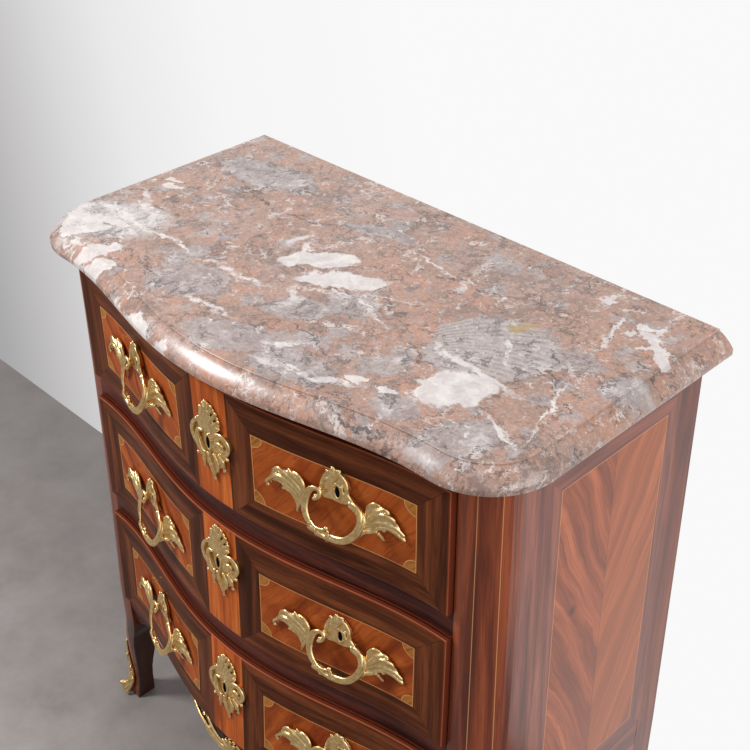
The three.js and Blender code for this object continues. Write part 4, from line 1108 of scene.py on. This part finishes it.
# Cups of painted shade for the keyhole slots.
HANDLE_SHADE_CUP = slot_shade_cup(*HANDLE_SLOT, 5.4)
ESCUTCHEON = fused(escutcheon_casting(), ESCUTCHEON_SLOT, ESCUTCHEON_RELIEF)
ESCUTCHEON_SHADE_CUP = slot_shade_cup(*ESCUTCHEON_SLOT, 4.6)
HANDLE_SHARE = 0.543
HANDLE_SHIFT = 0.003
HANDLE_DROPS = (0.0, 0.008, 0.002)
ESCUTCHEON_SHIFT = -0.003
ESCUTCHEON_DROP = 0.005
for bay, level in enumerate(LEVELS):
    body = f"{level}_drawer"
    for side, way in (("left", -1), ("right", 1)):
        place = (way * HANDLE_SHARE * HALF_DRAWER + HANDLE_SHIFT, bay_middle(bay) - HANDLE_DROPS[bay])
        lay_casting(f"{level}_{side}_handle_casting", HANDLE, *place, body, f"{body}_{side}_handle")
        lay_casting(f"{level}_{side}_handle_keyhole", HANDLE_SHADE_CUP, *place, body)
    place = (ESCUTCHEON_SHIFT, bay_middle(bay) + KEYHOLE_RISES[bay] - ESCUTCHEON_DROP)
    lay_casting(f"{level}_escutcheon_casting", ESCUTCHEON, *place, body, f"{body}_escutcheon")
    lay_casting(f"{level}_keyhole", ESCUTCHEON_SHADE_CUP, *place, body)

# Mount on the middle of the apron, drawn as its right half
APRON_LINE = 0.012
APRON_DROP = 0.032
APRON_TUCK = 0.009
APRON_BRACKET = APRON_HIGH.z - APRON_LOW.z
MOUNT_PLACE = (0.0, LEG_HEIGHT - APRON_LINE - APRON_DROP / 2)
MOUNT_RIBS = (
    ((8, -6, 5), (26, -6, 7), (46, 3, 8), (64, 11, 8), (82, 17, 6), (98, 23, 3)),
    ((8, -12, 5), (28, -14, 7), (46, -6, 8), (62, 2, 7), (78, 8, 3)),
    ((8, 2, 5), (22, 6, 7), (37, 13, 7), (50, 21, 5), (62, 25, 3)),
)
MOUNT_SPURS = (
    ((20, -12, 6), (31, -18, 6), (38, -26, 3)), ((44, -4, 6), (53, -10, 6), (58, -16, 3)),
    ((64, 8, 6), (72, 3, 6), (77, -2, 3)), ((76, 14, 6), (86, 12, 5), (92, 8, 3)),
)
MOUNT_SHELL_HUB = (0, -14, 7)
MOUNT_SHELL_RIM = ((-20, 2, 6), (-16, 12, 7), (-8, 19, 7), (0, 22, 7), (8, 19, 7), (16, 12, 7), (20, 2, 6))
MOUNT_BEADS = (
    (0, -20, 6, 3.2), (38, -27, 4, 2.6), (98, 24, 4, 2.6), (62, 26, 4, 2.4), (58, -17, 4, 2.4),
    (77, -3, 4, 2.4), (48, 10, 8, 2.6), (92, 7, 4, 2.2),
)
MOUNT_PLATE = (
    (-22, 2), (-14, 16), (0, 22), (14, 16), (22, 2), (30, -6), (12, -17), (0, -19), (-12, -17), (-30, -6),
)


def apron_y(x, z):
    """The face of the apron, which tucks in toward its lower edge."""
    low = np.clip((LEG_HEIGHT - z) / APRON_BRACKET, 0, (APRON_LINE + APRON_DROP) / APRON_BRACKET)
    return front_y(x, LEG_HEIGHT) + RAIL_RECESS + APRON_TUCK * low * low


def sided(line, way):
    return [(way * across, *rest) for across, *rest in line]


def mount_casting():
    parts = [cast_strand((MOUNT_SHELL_HUB, tip), 2.0, 3.2, 2.6) for tip in MOUNT_SHELL_RIM]
    parts.append(cast_plate(MOUNT_PLATE, BRONZE_STAND_OFF, 4.6))
    for way in (1, -1):
        parts += cast_leaf([sided(rib, way) for rib in MOUNT_RIBS], (2.2, 3.2, 1.9))
        parts += [cast_strand(sided(spur, way), 2.2, 2.8, 1.6) for spur in MOUNT_SPURS]
        parts += [cast_bead(bead[:3], bead[3]) for bead in sided(MOUNT_BEADS, way)]
    return parts


lay_casting("apron_mount_casting", fused(mount_casting()), *MOUNT_PLACE, "case", "apron_mount", apron_y)

# Leafy shoes that climb the outer corners of the front feet, in millimetres
SHOE_LOBES = ((0.18, 0.34, 1.0), (0.36, 0.54, 0.85), (0.55, 0.74, 0.7))
SHOE_SINK = 2.0
SHOE_FLOOR = 6.0
SHOE_CURL = 8.0
SHOE_CURL_FOOT = 3.0


def shoe_rows(node):
    """The middle and both edges of a shoe's outer face at each of its levels, and the way that it faces."""
    points = np.array([node.matrix_world @ v.co for v in node.data.vertices]) / MM
    way = np.array((math.copysign(1.0, points[:, 0].mean()), -1.0, 0.0)) / math.sqrt(2)
    across = np.array((-way[1], way[0], 0.0))
    rows = []
    for level in sorted(set(np.round(points[:, 2], 2))):
        ring = points[np.abs(points[:, 2] - level) < 0.05]
        ring[:, 2] = max(level, SHOE_FLOOR)
        middle = ring[(ring @ way).argmax()] - way * SHOE_SINK
        ends = [ring[(ring @ across).argmin()], ring[(ring @ across).argmax()]]
        rows.append([middle, *[end * 0.8 + middle * 0.2 for end in ends]])
    return np.array(rows), way


def shoe_casting(node):
    rows, way = shoe_rows(node)
    count = len(rows)
    middle = spline(rows[:, 0], 4)
    parts = [tube(middle, strand_radii(len(middle), 4.2, 3.0, 1.6))]
    for side in (1, 2):
        edge = spline(rows[:, side], 4)
        parts.append(tube(edge, strand_radii(len(edge), 3.0, 2.2, 1.3)))
        parts.append(tube((middle + edge) / 2, strand_radii(len(edge), 3.2, 2.2, 1.2)))
        for low, high, size in SHOE_LOBES:
            root, tip = rows[int(low * count), 0], rows[int(high * count), side]
            outside = tip + (tip - rows[int(high * count), 0]) * 0.45 * size + way * 1.5
            parts.append(cast_strand((root, (root + outside) / 2 + way * 2.0, outside), 2.2, 3.0, 1.8))
            parts.append(cast_bead(outside, 2.4))
    toe = rows[0, 0]
    curl = toe + way * 3.0 + (0, 0, SHOE_CURL)
    scroll = (rows[2, 0], rows[1, 0] + way * 2.0, curl, toe + (0, 0, SHOE_CURL_FOOT))
    parts.append(cast_strand(scroll, 3.0, 3.6, 3.0))
    return parts


for side in ("left", "right"):
    casting = fused(shoe_casting(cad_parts[f"{side}_shoe"]))
    shoe = new_object(f"{side}_shoe_casting", *casting, CURVED_SMOOTHING, closed=True)
    lay(shoe, BRONZE, "case", f"{side}_shoe")

# Stage, lights and camera
FLOOR_REAR = BACK + 0.004
FLOOR_FRONT = -4
FLOOR_HALF = 3
FLOOR_SHADE_WIDTH = 0.7


def floor_material():
    g = Surface("floor_grey")
    clouds = g.noise(g.place, 7.0, 9.0, 0.68)
    colour = g.ramp(clouds, (0.32, (128, 122, 118)), (0.5, (146, 138, 134)), (0.68, (158, 151, 148)))
    # Painted shade: the floor darkens toward its rear edge at the wall line.
    near_wall = g.step(g.split(g.place)[1], FLOOR_REAR - FLOOR_SHADE_WIDTH, FLOOR_REAR)
    g.set(Base_Color=g.mix(near_wall * 0.6, colour, (98, 92, 89)), Roughness=0.6)
    return g.material


floor = new_object("floor", (
    (-FLOOR_HALF, FLOOR_FRONT, 0), (FLOOR_HALF, FLOOR_FRONT, 0),
    (FLOOR_HALF, FLOOR_REAR, 0), (-FLOOR_HALF, FLOOR_REAR, 0),
), [(0, 1, 2, 3)])
dress(floor, floor_material())

WALL_WAY = (0.626, 0.79, 0.144)
WALL_SHIFT = 0.50
WALL_TONES = (
    (0.0, (158, 157, 158)), (0.22, (169, 168, 169)), (0.262, (197, 195, 196)), (0.30, (217, 216, 217)),
    (0.345, (233, 233, 233)), (0.42, (245, 245, 245)), (0.57, (249, 249, 249)),
)
SOFT_LIGHT = (0.90, 0.93, 0.97, 1.0)
SOFT_LIGHT_STRENGTH = 0.60


def studio_world():
    """A pale wall with painted shade that makes it greyer on the left, and soft light from all round."""
    world = bpy.data.worlds.new("studio")
    bpy.context.scene.world = world
    g = Graph(world, "Generated")
    wall = g.node("Background", {0: g.ramp(g.dot(g.place, WALL_WAY) + WALL_SHIFT, *WALL_TONES)})
    light = g.node("Background", {0: SOFT_LIGHT, 1: SOFT_LIGHT_STRENGTH})
    seen = g.node("LightPath", {}, "Is Camera Ray")
    shown = g.many((seen, seen.beside("Is Glossy Ray"), seen.beside("Is Transmission Ray")))
    output = g.tree.nodes.new("ShaderNodeOutputWorld")
    g.put(output.inputs[0], g.node("MixShader", {0: shown, 1: light, 2: wall}))


def area_light(name, place, aim, size, power):
    data = bpy.data.lights.new(name, "AREA")
    data.shape = "SQUARE"
    data.size = size
    data.energy = power
    obj = bpy.data.objects.new(name, data)
    obj.location = place
    obj.rotation_euler = (Vector(aim) - Vector(place)).to_track_quat("-Z", "Y").to_euler()
    bpy.context.scene.collection.objects.link(obj)


CAMERA_PLACE = (0.9493, BACK - 1.0659, 1.5842)
CAMERA_YAW = 46.109
CAMERA_PITCH = 33.924
CAMERA_ROLL = -0.941
CAMERA_FOCAL = 1253.3
PHOTO_WIDTH = 750
SENSOR = 36.0


def add_camera():
    yaw, pitch, roll = (math.radians(v) for v in (CAMERA_YAW, CAMERA_PITCH, CAMERA_ROLL))
    ahead = Vector((-math.sin(yaw) * math.cos(pitch), math.cos(yaw) * math.cos(pitch), -math.sin(pitch)))
    level = Vector((math.cos(yaw), math.sin(yaw), 0.0))
    above = level.cross(ahead)
    right = level * math.cos(roll) + above * math.sin(roll)
    up = above * math.cos(roll) - level * math.sin(roll)
    data = bpy.data.cameras.new("camera")
    data.sensor_width = SENSOR
    data.lens = CAMERA_FOCAL * SENSOR / PHOTO_WIDTH
    data.clip_start = 0.05
    obj = bpy.data.objects.new("camera", data)
    turn = Matrix((right, up, -ahead)).transposed().to_4x4()
    obj.matrix_world = Matrix.Translation(Vector(CAMERA_PLACE)) @ turn
    bpy.context.scene.collection.objects.link(obj)
    bpy.context.scene.camera = obj


studio_world()
area_light("key", (-1.7, -1.5, 2.6), (0, 0, 0.6), 0.6, 66)
area_light("side_fill", (2.6, 0.1, 1.9), (0.3, 0, 0.5), 1.6, 34)
add_camera()
bpy.context.scene.view_settings.view_transform = "Standard"
